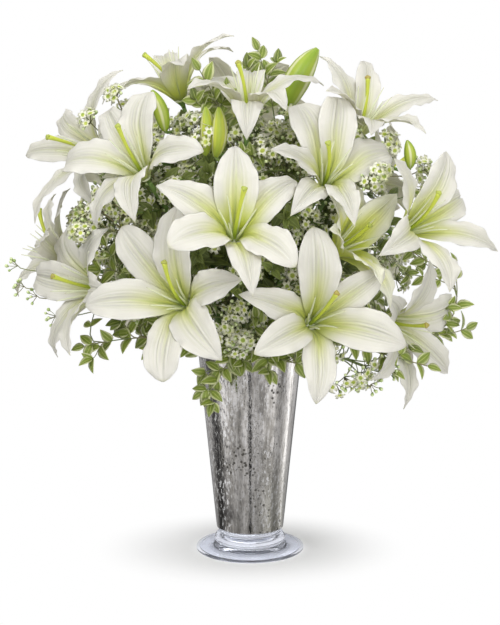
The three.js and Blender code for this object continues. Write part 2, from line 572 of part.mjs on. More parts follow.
// Six petals, and the six filaments between them, grow from a small collar with a hole for the style.
function corolla(bloom, axes) {
  const petals = petalSurfaces(bloom, axes);
  const rows = bloom.fine ? FINE_ROWS : PLAIN_ROWS;
  const last = rows.length - 1;
  const centre = vec(bloom.at);
  const { vertex, triangle, geometry } = builder();
  const blade = (k) => (face, row, column) => {
    const shown = row === last ? 1 : column;
    const offset = face === 0 ? PETAL_THICK / 2 : -PETAL_THICK / 2;
    return vertex(`${k},${face},${row},${shown}`, () => petals[k].pointAt(rows[row], shown - 1, offset));
  };
  const low = (k, face) => vertex(`low,${k},${face}`, () => centre.clone()
    .addScaledVector(spoke(axes, petals[k].base + 30), face === 0 ? COLLAR_HOLE : COLLAR_OUTER)
    .addScaledVector(axes.axis, COLLAR_LOW));
  for (let k = 0; k < 6; k += 1) {
    const next = (k + 1) % 6;
    const before = (k + 5) % 6;
    bladeFaces(blade(k), last, triangle);
    for (let face = 0; face < 2; face += 1) {
      const [left, middle, right] = [0, 1, 2].map((column) => blade(k)(face, 0, column));
      const across = blade(next)(face, 0, 0);
      const walls = [[low(before, face), middle, left], [low(before, face), low(k, face), middle],
        [middle, low(k, face), right]];
      const thread = face === 0 ? vertex(`thread${k}`, () => filamentTip(centre, axes,
        petals[k].base + 30)) : right;
      walls.push([low(k, face), across, thread], [across, right, thread], [right, low(k, face), thread]);
      for (const [p, q, r] of walls) {
        triangle(p, face === 0 ? q : r, face === 0 ? r : q);
      }
    }
    triangle(blade(k)(0, 0, 2), blade(next)(0, 0, 0), blade(next)(1, 0, 0));
    triangle(blade(k)(0, 0, 2), blade(next)(1, 0, 0), blade(k)(1, 0, 2));
    triangle(low(k, 0), low(before, 0), low(before, 1));
    triangle(low(k, 0), low(before, 1), low(k, 1));
  }
  return outwards(solid(geometry()));
}

function bloomMesh(bloom) {
  return meshOf(`lily_bloom_${bloom.name}`, geometryOf(corolla(bloom, bloomAxes(bloom.facing))), WHITE, 0.55);
}

// The end of a stalk that carries a bloom: a cup under the collar, the style through its hole and the stigma.
function pistil(bloom) {
  const axes = bloomAxes(bloom.facing);
  const centre = vec(bloom.at);
  const onAxis = (height) => centre.clone().addScaledVector(axes.axis, height);
  const [long, lean, turn] = bloom.style;
  const tip = onAxis(long * Math.cos(lean * DEG)).addScaledVector(spoke(axes, turn),
    long * Math.sin(lean * DEG));
  const middle = onAxis(long * 0.5);
  const style = new THREE.QuadraticBezierCurve3(onAxis(CUP_TOP), middle, tip);
  const way = style.getTangent(1);
  return [{ at: onAxis(CUP_TOP - CUP_LONG), radius: PEDICEL_RADIUS, way: axes.axis },
    { at: onAxis(CUP_TOP), radius: CUP_WIDE, way: axes.axis },
    { at: onAxis(CUP_TOP), radius: STYLE_RADIUS, way: axes.axis },
    ...along(style, [0.5, 0.97], STYLE_RADIUS),
    { at: tip, radius: STIGMA_RADIUS, way },
    { at: tip.clone().addScaledVector(way, STIGMA_RADIUS * 0.6), radius: 0, way }];
}

// A bud at the end of its stalk, from its narrow base to its tip.
function bud({ base, tip, wide }) {
  const way = vec(tip).sub(vec(base));
  return BUD_PROFILE.map(([share, height]) => ({
    at: vec(base).addScaledVector(way, height), radius: share * wide, way: way.clone().normalize(),
  }));
}

function mouthPoint(angle, ring, z) {
  return new THREE.Vector3(ring * Math.cos(angle * DEG), ring * Math.sin(angle * DEG), z);
}

function stemLine(stem) {
  const foot = mouthPoint(stem.mouth - STEM_TWIST, STEM_FOOT_RING, STEM_FOOT_Z);
  return new THREE.LineCurve3(foot, mouthPoint(stem.mouth, STEM_MOUTH_RING, MOUTH_Z));
}

function twigLine([angle, low, high]) {
  return new THREE.LineCurve3(mouthPoint(angle, low, TWIG_FOOT_Z), mouthPoint(angle, high, MOUTH_Z));
}

function behind(bloom) {
  return vec(bloom.at).addScaledVector(bloomAxes(bloom.facing).axis, CUP_TOP - CUP_LONG);
}

// A leaf leaves its stalk at an angle, arches over and is folded along its midrib. Its shape is a list of shares
// of its length and of its half width.
function leaf(root, stalk, side, long, wide, shape) {
  const start = stalk.clone().normalize();
  const away = side.clone().addScaledVector(start, -side.dot(start)).normalize();
  const across = start.clone().cross(away);
  const last = shape.length - 1;
  const { vertex, triangle, geometry } = builder();
  const pointAt = ([t, share], s, offset) => {
    const angle = LEAF_ANGLE + LEAF_DROOP * t;
    const way = start.clone().multiplyScalar(Math.cos(angle)).addScaledVector(away, Math.sin(angle));
    const face = start.clone().multiplyScalar(Math.sin(angle)).addScaledVector(away, -Math.cos(angle));
    return root.clone().addScaledVector(way, long * t).addScaledVector(across, s * wide * share)
      .addScaledVector(face, LEAF_FOLD * wide * share * Math.abs(s) + offset);
  };
  const place = (face, row, column) => {
    const shown = row === 0 || row === last ? 1 : column;
    const offset = face === 0 ? LEAF_THICK / 2 : -LEAF_THICK / 2;
    return vertex(`${face},${row},${shown}`, () => pointAt(shape[row], shown - 1, offset));
  };
  bladeFaces(place, last, triangle);
  return outwards(solid(geometry()));
}

function turned(tangent, angle) {
  const helper = Math.abs(tangent.z) < 0.9 ? new THREE.Vector3(0, 0, 1) : new THREE.Vector3(1, 0, 0);
  const first = helper.cross(tangent).normalize();
  const second = tangent.clone().cross(first);
  return first.multiplyScalar(Math.cos(angle * DEG)).addScaledVector(second, Math.sin(angle * DEG));
}

function stemMesh(stem) {
  const byName = (name) => blooms.find((bloom) => bloom.name === name);
  const line = stemLine(stem);
  const top = byName(stem.top);
  const bend = new THREE.CubicBezierCurve3(line.v2, vec(stem.via[0]), vec(stem.via[1]), behind(top));
  const joints = [...stem.sides.map(({ from }) => from), ...stem.buds.map(({ from }) => from),
    ...stem.leaves.map(([share]) => share)];
  const main = [...along(line, [0, 1], STEM_RADIUS),
    ...along(bend, sharesWith(STEM_STEPS, joints), STEM_RADIUS), ...pistil(top)];
  const parts = [barBody(main, STEM_SIDES)];
  for (const { bloom, from, via } of stem.sides) {
    const carried = byName(bloom);
    const curve = new THREE.CubicBezierCurve3(bend.getPoint(from), vec(via[0]), vec(via[1]), behind(carried));
    parts.push(barBody([...along(curve, STALK_SHARES, PEDICEL_RADIUS), ...pistil(carried)], STEM_SIDES));
  }
  for (const one of stem.buds) {
    const curve = new THREE.CubicBezierCurve3(bend.getPoint(one.from), vec(one.via[0]), vec(one.via[1]),
      vec(one.base));
    parts.push(barBody([...along(curve, STALK_SHARES, BUD_STALK_RADIUS), ...bud(one)], BUD_SIDES));
  }
  for (const [share, turn, long, wide] of stem.leaves) {
    const tangent = bend.getTangent(share);
    parts.push(leaf(bend.getPoint(share), tangent, turned(tangent, turn), long, wide, LONG_LEAF));
  }
  return meshOf(`lily_stem_${stem.name}`, geometryOf(join(parts)), GREEN, 0.5);
}

// A wax floret whose stalk grows from a three-cornered face. Five rounded lobes stand round a dip.
function floret(build, name, face, root, way, long) {
  const feet = face.map(({ place }) => place);
  const middle = feet[0].clone().add(feet[1]).add(feet[2]).divideScalar(3);
  const flat = feet[0].clone().sub(middle);
  const across = flat.addScaledVector(way, -flat.dot(way)).normalize();
  const up = way.clone().cross(across);
  const point = (radius, angle, height) => () => root.clone().addScaledVector(way, height)
    .addScaledVector(across, radius * Math.cos(angle)).addScaledVector(up, radius * Math.sin(angle));
  const lobe = (i) => (i % 2 === 0 ? FLORET_RADIUS : FLORET_RADIUS * FLORET_NOTCH);
  const rim = (i) => build.vertex(`${name},rim${i % 10}`, point(lobe(i), (Math.PI * i) / 5, long));
  const neck = (k) => build.vertex(`${name},neck${k % 3}`, point(FLORET_STALK, (2 * Math.PI * k) / 3,
    long - FLORET_NECK));
  const dip = build.vertex(`${name},dip`, point(0, 0, long - FLORET_DIP));
  const nearest = (i) => Math.round((i * 3) / 10) % 3;
  for (let k = 0; k < 3; k += 1) {
    build.triangle(face[k].number, face[(k + 1) % 3].number, neck(k + 1));
    build.triangle(face[k].number, neck(k + 1), neck(k));
  }
  for (let i = 0; i < 10; i += 1) {
    build.triangle(rim(i), rim(i + 1), dip);
    build.triangle(neck(nearest(i)), rim(i + 1), rim(i));
    build.triangle(neck(nearest(i)), neck(nearest(i + 1)), rim(i + 1));
  }
}

// A twig that ends in a small hub, with a floret on each of the hub's front faces.
function umbel(stalk, one) {
  const build = builder();
  const root = vec(one.root);
  const facing = vec(one.facing).normalize();
  const [count, reach, spread] = one.florets;
  const hubRing = (height, radius) => ({ at: root.clone().addScaledVector(facing, height), radius,
    way: facing });
  const rings = [...stalk, hubRing(-HUB_RADIUS * 0.5, HUB_RADIUS * 0.7), hubRing(0, HUB_RADIUS),
    hubRing(HUB_RADIUS * 0.8, 0)];
  const corners = bar(build, 'twig', rings, count, (i) => i === rings.length - 2);
  const [ring, apex] = corners.slice(-2);
  for (let k = 0; k < count; k += 1) {
    const face = [ring[k], ring[(k + 1) % count], apex[0]];
    const middle = face[0].place.clone().add(face[1].place).addScaledVector(root, -2).normalize();
    const lean = spread * (1 - FLORET_VARIES * ((k * 7) % 3)) * DEG;
    const way = facing.clone().multiplyScalar(Math.cos(lean)).addScaledVector(middle, Math.sin(lean));
    floret(build, `floret${k}`, face, root, way.normalize(), reach * (1 + FLORET_VARIES * ((k % 3) - 1)));
  }
  return solid(build.geometry());
}

function sprayMesh(spray) {
  const line = twigLine(spray.mouth);
  const [first, ...others] = spray.umbels;
  const bend = new THREE.CubicBezierCurve3(line.v2, vec(spray.via[0]), vec(spray.via[1]), vec(first.root));
  const shares = sharesWith(TWIG_STEPS, others.map(({ from }) => from));
  const main = [...along(line, [0, 1], TWIG_RADIUS), ...along(bend, shares, TWIG_RADIUS)];
  const parts = [umbel(main, first)];
  for (const one of others) {
    const curve = new THREE.CubicBezierCurve3(bend.getPoint(one.from), vec(one.via[0]), vec(one.via[1]),
      vec(one.root));
    parts.push(umbel(along(curve, BRANCH_SHARES, BRANCH_RADIUS), one));
  }
  return meshOf(`wax_spray_${spray.name}`, geometryOf(join(parts)), WAX_WHITE, 0.6);
}

// A small folded leaf grows from one side of a twig, between two rings of it. The loops run round the leaf.
function twigLeaf(build, name, face, stalk, long, wide) {
  const root = face.reduce((sum, { place }) => sum.add(place), new THREE.Vector3()).divideScalar(4);
  const across = face[1].place.clone().sub(face[0].place).normalize();
  const away = across.clone().cross(stalk).normalize();
  const way = stalk.clone().multiplyScalar(Math.cos(LEAF_ANGLE)).addScaledVector(away, Math.sin(LEAF_ANGLE));
  const up = stalk.clone().multiplyScalar(Math.sin(LEAF_ANGLE)).addScaledVector(away, -Math.cos(LEAF_ANGLE));
  const place = (share, s, offset, rise) => () => root.clone().addScaledVector(way, long * share)
    .addScaledVector(across, s * wide).addScaledVector(up, rise + offset);
  const half = LEAF_THICK / 2;
  const fold = LEAF_FOLD * wide;
  const loop = [[-1, -half, fold], [0, -half, 0], [1, -half, fold], [1, half, fold], [0, half, 0],
    [-1, half, fold]]
    .map(([s, offset, rise], i) => build.vertex(`${name},${i}`, place(LEAF_WIDEST, s, offset, rise)));
  const tip = build.vertex(`${name},tip`, place(1, 0, 0, -LEAF_TIP_DROP * long));
  const feet = face.map(({ number }) => number);
  const joins = [[0, 0], [0, 1], [1, 2], [2, 3], [2, 4], [3, 5]];
  for (let i = 0; i < 6; i += 1) {
    const [foot, at] = joins[i];
    const [nextFoot, next] = joins[(i + 1) % 6];
    build.triangle(feet[foot], loop[next], loop[at]);
    build.triangle(feet[foot], feet[nextFoot], loop[next]);
    build.triangle(loop[at], loop[next], tip);
  }
}

function sprigMesh(sprig) {
  const build = builder();
  const line = twigLine(sprig.mouth);
  const bend = new THREE.CubicBezierCurve3(line.v2, vec(sprig.via[0]), vec(sprig.via[1]), vec(sprig.tip));
  const rings = [...along(line, [0, 1], SPRIG_RADIUS),
    ...along(bend, [sprig.leafy * 0.35, sprig.leafy * 0.7], SPRIG_RADIUS)];
  const nodes = [];
  for (let i = 0; i < sprig.pairs; i += 1) {
    const share = sprig.leafy + ((LAST_LEAVES - sprig.leafy) * i) / (sprig.pairs - 1);
    const way = bend.getTangent(share);
    nodes.push({ ring: rings.length, way });
    for (const step of [-LEAF_FOOT / 2, LEAF_FOOT / 2]) {
      rings.push({ at: bend.getPoint(share).addScaledVector(way, step), radius: SPRIG_RADIUS, way });
    }
  }
  rings.push({ at: vec(sprig.tip).addScaledVector(bend.getTangent(1), LEAF_FOOT), radius: 0 });
  const sidesAt = (i) => {
    const pair = nodes.findIndex(({ ring }) => ring === i);
    return pair < 0 ? [] : [pair % TWIG_SIDES, (pair + 1) % TWIG_SIDES];
  };
  const corners = bar(build, 'twig', rings, TWIG_SIDES, (i, k) => sidesAt(i).includes(k));
  nodes.forEach(({ ring, way }, i) => {
    sidesAt(ring).forEach((k, j) => {
      const next = (k + 1) % TWIG_SIDES;
      const face = [corners[ring][k], corners[ring][next], corners[ring + 1][next], corners[ring + 1][k]];
      const long = SPRIG_LEAF * (1 - 0.1 * i - 0.08 * j);
      twigLeaf(build, `leaf${i},${j}`, face, way, long, long * LEAF_SLIM);
    });
  });
  return meshOf(`leaf_sprig_${sprig.name}`, geometryOf(outwards(solid(build.geometry()))), LEAF_GREEN, 0.5);
}

function lathe(profile, sides) {
  const points = profile.map(([x, y]) => new THREE.Vector2(x, y));
  return outwards(solid(new THREE.LatheGeometry(points, sides).rotateX(Math.PI / 2)));
}

function footMesh() {
  const profile = [[0, 0], [57.4, 0], [FOOT_RADIUS, 1.4], [57.8, 3.2], [50, 4.8], [42, 6.6], [37, 8.2],
    [38.6, 10.6],
    [38.2, 14], [35.4, 17.2], [33.2, 19.4], [34.6, 22], [CUP_SEAT_RADIUS, CUP_SEAT_Z], [0, CUP_SEAT_Z]];
  return meshOf('vase_foot', geometryOf(lathe(profile, VASE_SIDES)), CLEAR, 0.08);
}

function wallRadius(z) {
  return CUP_BASE_RADIUS + ((RIM_RADIUS - CUP_BASE_RADIUS) * (z - CUP_BASE_Z)) / (RIM_Z - CUP_BASE_Z);
}

function cupMesh() {
  const inner = (z) => wallRadius(z) - CUP_WALL;
  const profile = [[0, CUP_SEAT_Z], [CUP_SEAT_RADIUS, CUP_SEAT_Z], [CUP_BASE_RADIUS, CUP_BASE_Z],
    [wallRadius(RIM_Z - 2), RIM_Z - 2], [RIM_RADIUS - 1, RIM_Z], [RIM_RADIUS - 2.6, RIM_Z],
    [inner(RIM_Z - 2), RIM_Z - 2], [inner(36), 36], [inner(36) - 5, CUP_FLOOR_Z], [0, CUP_FLOOR_Z]];
  return meshOf('vase_cup', geometryOf(lathe(profile, VASE_SIDES)), SILVER, 0.25, 0.9);
}

// The water fills the cup up to its level, with a plain hole round each stem.
function waterMesh() {
  const snug = (z) => (wallRadius(z) - CUP_WALL) * Math.cos(Math.PI / VASE_SIDES) - 0.5;
  const profile = [[0, CUP_FLOOR_Z + 0.4], [snug(36) - 5.5, CUP_FLOOR_Z + 0.4], [snug(36.5), 36.5],
    [snug(WATER_Z), WATER_Z], [0, WATER_Z]];
  let body = lathe(profile, WATER_SIDES);
  const hole = (line, radius, sides) => {
    const way = line.v2.clone().sub(line.v1).normalize();
    const low = line.v1.clone().addScaledVector(way, -0.6);
    return barBody([{ at: low, radius: radius + HOLE_GAP }, { at: line.v2, radius: radius + HOLE_GAP }], sides);
  };
  for (const stem of stems) {
    const line = stemLine(stem);
    line.v1.addScaledVector(line.v2.clone().sub(line.v1).normalize(), -3);
    body = body.subtract(hole(line, STEM_RADIUS + 0.7, 6));
  }
  for (const twig of [...sprays, ...sprigs]) {
    body = body.subtract(hole(twigLine(twig.mouth), TWIG_RADIUS + 0.5, 4));
  }
  return meshOf('water', geometryOf(body), WATER, 0.05);
}

const bouquet = new THREE.Group();
bouquet.add(footMesh(), cupMesh(), waterMesh());
stems.forEach((stem) => bouquet.add(stemMesh(stem)));
blooms.forEach((bloom) => bouquet.add(bloomMesh(bloom)));
sprays.forEach((spray) => bouquet.add(sprayMesh(spray)));
sprigs.forEach((sprig) => bouquet.add(sprigMesh(sprig)));

export default bouquet;
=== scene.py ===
import math
import bpy
import numpy as np
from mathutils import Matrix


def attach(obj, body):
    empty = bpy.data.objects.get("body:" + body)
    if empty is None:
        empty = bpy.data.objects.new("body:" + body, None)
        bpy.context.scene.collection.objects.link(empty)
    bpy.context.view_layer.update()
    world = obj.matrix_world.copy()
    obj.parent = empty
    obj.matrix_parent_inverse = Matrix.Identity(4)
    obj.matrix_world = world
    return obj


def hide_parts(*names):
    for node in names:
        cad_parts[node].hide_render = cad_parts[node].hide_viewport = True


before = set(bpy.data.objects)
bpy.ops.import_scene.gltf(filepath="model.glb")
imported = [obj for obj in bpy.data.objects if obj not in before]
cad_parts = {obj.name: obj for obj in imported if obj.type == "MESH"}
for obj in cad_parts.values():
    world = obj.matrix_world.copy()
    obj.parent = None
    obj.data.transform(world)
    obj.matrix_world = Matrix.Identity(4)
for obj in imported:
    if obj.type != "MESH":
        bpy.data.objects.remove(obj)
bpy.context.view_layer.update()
print("frame:", len(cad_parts), "nodes")

# Places and sizes are in millimetres, and each mesh is written in metres. Angles are in degrees.
mm = 0.001


class Wire:
    # A socket of a finish. Sums and products of wires add their Math nodes.
    def __init__(self, finish, socket):
        self.finish = finish
        self.socket = socket

    def maths(self, operation, *others):
        values = dict(enumerate([self, *others]))
        return self.finish.node("ShaderNodeMath", {"operation": operation}, values)

    def __add__(self, other):
        return self.maths("ADD", other)

    def __mul__(self, other):
        return self.maths("MULTIPLY", other)

    def __sub__(self, other):
        return self.maths("SUBTRACT", other)

    def __rsub__(self, other):
        return self.finish.node("ShaderNodeMath", {"operation": "SUBTRACT"}, {0: other, 1: self})

    def __abs__(self):
        return self.maths("ABSOLUTE")

    __radd__ = __add__


class Finish:
    # A material. node() adds any node from its type, its settings and the values or wires of its sockets.
    def __init__(self, name):
        self.material = bpy.data.materials.new(name)
        self.material.use_nodes = True
        self.tree = self.material.node_tree
        self.tree.nodes.clear()

    def node(self, kind, settings=None, values=None, out=0):
        made = self.tree.nodes.new(kind)
        for key, value in (settings or {}).items():
            setattr(made, key, value)
        for key, value in (values or {}).items():
            if isinstance(value, Wire):
                self.tree.links.new(value.socket, made.inputs[key])
            else:
                made.inputs[key].default_value = value
        return Wire(self, made.outputs[out])

    # 0 below low and 1 above high, with an s-curve between. High may be the smaller one.
    def step(self, value, low, high):
        values = {0: value, 1: low, 2: high}
        return self.node("ShaderNodeMapRange", {"interpolation_type": "SMOOTHSTEP"}, values)

    # Colour a where the factor is 0, colour b where it is 1.
    def blend(self, factor, a, b):
        a, b = (colour if isinstance(colour, Wire) else (*colour, 1) for colour in (a, b))
        return self.node("ShaderNodeMix", {"data_type": "RGBA"}, {0: factor, 6: a, 7: b}, 2)

    def objectPlace(self):
        return self.node("ShaderNodeTexCoord", out=3)

    # The three numbers of a vector.
    def parts(self, vector):
        split = self.node("ShaderNodeSeparateXYZ", values={0: vector}).socket.node
        return [Wire(self, split.outputs[i]) for i in range(3)]

    # A vector attribute of the piece, and its three numbers.
    def spots(self, name):
        whole = self.node("ShaderNodeAttribute", {"attribute_name": name}, out=1)
        return whole, self.parts(whole)

    # Vector Math on vectors. Out is 0 for a vector and 1 for a number.
    def vectors(self, operation, *values, out=0):
        return self.node("ShaderNodeVectorMath", {"operation": operation}, dict(enumerate(values)), out)

    def stretched(self, vector, sizes):
        return self.vectors("MULTIPLY", vector, sizes)

    # Stretched along z alone.
    def tall(self, vector, size):
        return self.stretched(vector, (1.0, 1.0, size))

    def noise(self, vector, scale, detail=2.0, roughness=0.5):
        values = {"Vector": vector, "Scale": scale, "Detail": detail, "Roughness": roughness}
        return self.node("ShaderNodeTexNoise", values=values)

    def cells(self, vector, scale):
        return self.node("ShaderNodeTexVoronoi", values={"Vector": vector, "Scale": scale})

    def bump(self, height, strength, distance):
        values = {"Height": height, "Strength": strength, "Distance": distance}
        return self.node("ShaderNodeBump", values=values)

    # The main shader. Through is a translucent colour and its share, and more holds its other sockets.
    def surface(self, colour, roughness, normal, through=None, more=None):
        values = {"Base Color": colour, "Roughness": roughness, "Normal": normal, **(more or {})}
        shader = self.node("ShaderNodeBsdfPrincipled", values=values)
        if through:
            glow = self.node("ShaderNodeBsdfTranslucent", values={"Color": (*through[0], 1)})
            shader = self.node("ShaderNodeMixShader", values={0: through[1], 1: shader, 2: glow})
        return self.finished(shader)

    def finished(self, shader):
        output = self.tree.nodes.new("ShaderNodeOutputMaterial")
        self.tree.links.new(shader.socket, output.inputs[0])
        return self.material


def unit(v):
    # A vector over its length.
    return v / np.maximum(np.linalg.norm(v, axis=-1, keepdims=True), 1e-12)


def ease(value, low, high):
    # 0 below low and 1 above high, with an s-curve between.
    x = np.clip((np.asarray(value, float) - low) / (high - low), 0, 1)
    return x * x * (3 - 2 * x)


def looked(pairs, values):
    # Straight lines between pairs of a number and its result, read at each value.
    return np.interp(values, *np.transpose(pairs))


def circle(count):
    # Even angles round a circle, in radians.
    return 2 * math.pi * np.arange(count) / count


def stacked(*parts):
    # Numbers that share a grid become the parts of one vector at each point.
    return np.stack(np.broadcast_arrays(*parts), -1).astype(float)


def bezier(points, t):
    # Each round replaces neighbouring points by their mix at t, until one is left.
    t = np.asarray(t, float)[:, None]
    row = [np.asarray(p, float) for p in points]
    while len(row) > 1:
        row = [a * (1 - t) + b * t for a, b in zip(row, row[1:])]
    return row[0]


def pointOn(points, t):
    # One point of a bezier curve.
    return bezier(points, [t])[0]


def way(points, t):
    # The direction of a bezier curve: from a little before t to a little after it.
    return unit(pointOn(points, t + 1e-4) - pointOn(points, t - 1e-4))


def turned(tangent, angle):
    # A direction square to the tangent, at an angle from the level one.
    helper = np.array([0.0, 0, 1]) if abs(tangent[2]) < 0.9 else np.array([1.0, 0, 0])
    first = unit(np.cross(helper, tangent))
    a = math.radians(angle)
    return first * math.cos(a) + np.cross(tangent, first) * math.sin(a)


def ringQuads(rows, columns):
    # The point numbers of a grid, the ones beside them and its quads. The columns go round.
    grid = np.arange(rows * columns).reshape(rows, columns)
    beside = np.roll(grid, -1, axis=1)
    return grid, beside, np.stack([grid[:-1], beside[:-1], beside[1:], grid[1:]], -1).reshape(-1, 4)


def skin(rings, spot, finish, extra=0):
    # Rings of points joined by quads, the columns going round. A fan to its middle closes each end.
    rows, columns = rings.shape[:2]
    grid, beside, quads = ringQuads(rows, columns)
    low = np.stack([np.full(columns, grid.size), beside[0], grid[0]], -1)
    high = np.stack([np.full(columns, grid.size + 1), grid[-1], beside[-1]], -1)
    triangles = np.concatenate([low, high])

    def flat(field):
        field = np.broadcast_to(field, (rows, columns, 3))
        return np.concatenate([field.reshape(-1, 3), field[[0, -1]].mean(axis=1)])

    points = flat(rings)
    halves = np.concatenate([quads[:, :3], quads[:, [0, 2, 3]], triangles])
    a, b, c = (points[halves[:, i]] - points.mean(axis=0) for i in range(3))
    if np.einsum("ij,ij->", a, np.cross(b, c)) < 0:
        quads, triangles = quads[:, ::-1], triangles[:, ::-1]
    return {"points": points, "quads": quads, "triangles": triangles, "spot": flat(spot),
            "extra": flat(extra), "finish": finish}


def tube(path, radius, sides, finish, tone=0.5, lobes=None):
    # Circles about a path. They all start from the direction that is most square to the whole path.
    ahead = unit(np.gradient(path, axis=0))
    square = np.linalg.svd(ahead)[2][-1]
    first = unit(square - (ahead @ square)[:, None] * ahead)
    second = np.cross(ahead, first)
    turn = circle(sides)
    share = np.linspace(0, 1, len(path))[:, None]
    wide = np.broadcast_to(radius, len(path))[:, None] * (1 if lobes is None else lobes(turn, share))
    wide = np.broadcast_to(wide, (len(path), sides))[..., None]
    around = np.cos(turn)[:, None] * first[:, None] + np.sin(turn)[:, None] * second[:, None]
    return skin(path[:, None] + wide * around, stacked(np.cos(3 * turn), share, tone), finish)


def limb(curve, count, thick, sides, finish):
    # A tube along a bezier curve, from one radius to the other.
    return tube(bezier(curve, np.linspace(0, 1, count)), np.linspace(*thick, count), sides, finish)


def placed(template, root, ahead, size, tone, facing=None, spin=0.0):
    # A copy of a small shape, scaled and set at its root. Its z axis lies along ahead, and its y axis turns
    # towards facing, if that is given.
    ahead = unit(np.asarray(ahead, float))
    facing = turned(ahead, 90) if facing is None else facing
    second = unit(facing - (facing @ ahead) * ahead)
    first = np.cross(second, ahead)
    cos, sin = math.cos(spin), math.sin(spin)
    axes = np.array([first * cos + second * sin, second * cos - first * sin, ahead])
    spot = template["spot"].copy()
    spot[:, 2] = tone
    return {**template, "points": np.asarray(root) + size * template["points"] @ axes, "spot": spot}


def meshPiece(name, skins, node):
    # Skins set one after another in one mesh, with their finishes, and spot and extra vectors on its points.
    starts = np.cumsum([0] + [len(k["points"]) for k in skins])
    quads = np.concatenate([k["quads"] + start for k, start in zip(skins, starts)])
    triangles = np.concatenate([k["triangles"] + start for k, start in zip(skins, starts)])
    finishes = list(dict.fromkeys(k["finish"] for k in skins))
    which = [np.full(len(k[faces]), finishes.index(k["finish"]))
             for faces in ("quads", "triangles") for k in skins]
    corners = np.concatenate([quads.ravel(), triangles.ravel()])
    firsts = np.concatenate([np.arange(len(quads)) * 4, quads.size + np.arange(len(triangles)) * 3])
    mesh = bpy.data.meshes.new(name)
    mesh.vertices.add(starts[-1])
    mesh.loops.add(len(corners))
    mesh.polygons.add(len(firsts))
    points = np.concatenate([k["points"] for k in skins]) * mm
    mesh.vertices.foreach_set("co", points.astype(np.float32).ravel())
    mesh.loops.foreach_set("vertex_index", corners.astype(np.int32))
    mesh.polygons.foreach_set("loop_start", firsts.astype(np.int32))
    mesh.polygons.foreach_set("material_index", np.concatenate(which).astype(np.int32))
    mesh.polygons.foreach_set("use_smooth", np.ones(len(firsts), bool))
    for field in ("spot", "extra"):
        values = np.concatenate([k[field] for k in skins]).astype(np.float32).ravel()
        mesh.attributes.new(field, "FLOAT_VECTOR", "POINT").data.foreach_set("vector", values)
    mesh.update(calc_edges=True)
    for finish in finishes:
        mesh.materials.append(finish)
    piece = bpy.data.objects.new(name, mesh)
    bpy.context.scene.collection.objects.link(piece)
    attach(piece, "root")
    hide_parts(node)
    return piece


# Finishes. Unless a comment says otherwise, spot is a wave round the piece or the share across it, the share
# along it, and its tone. Extra is the face: 1 on the front and -1 on the back.

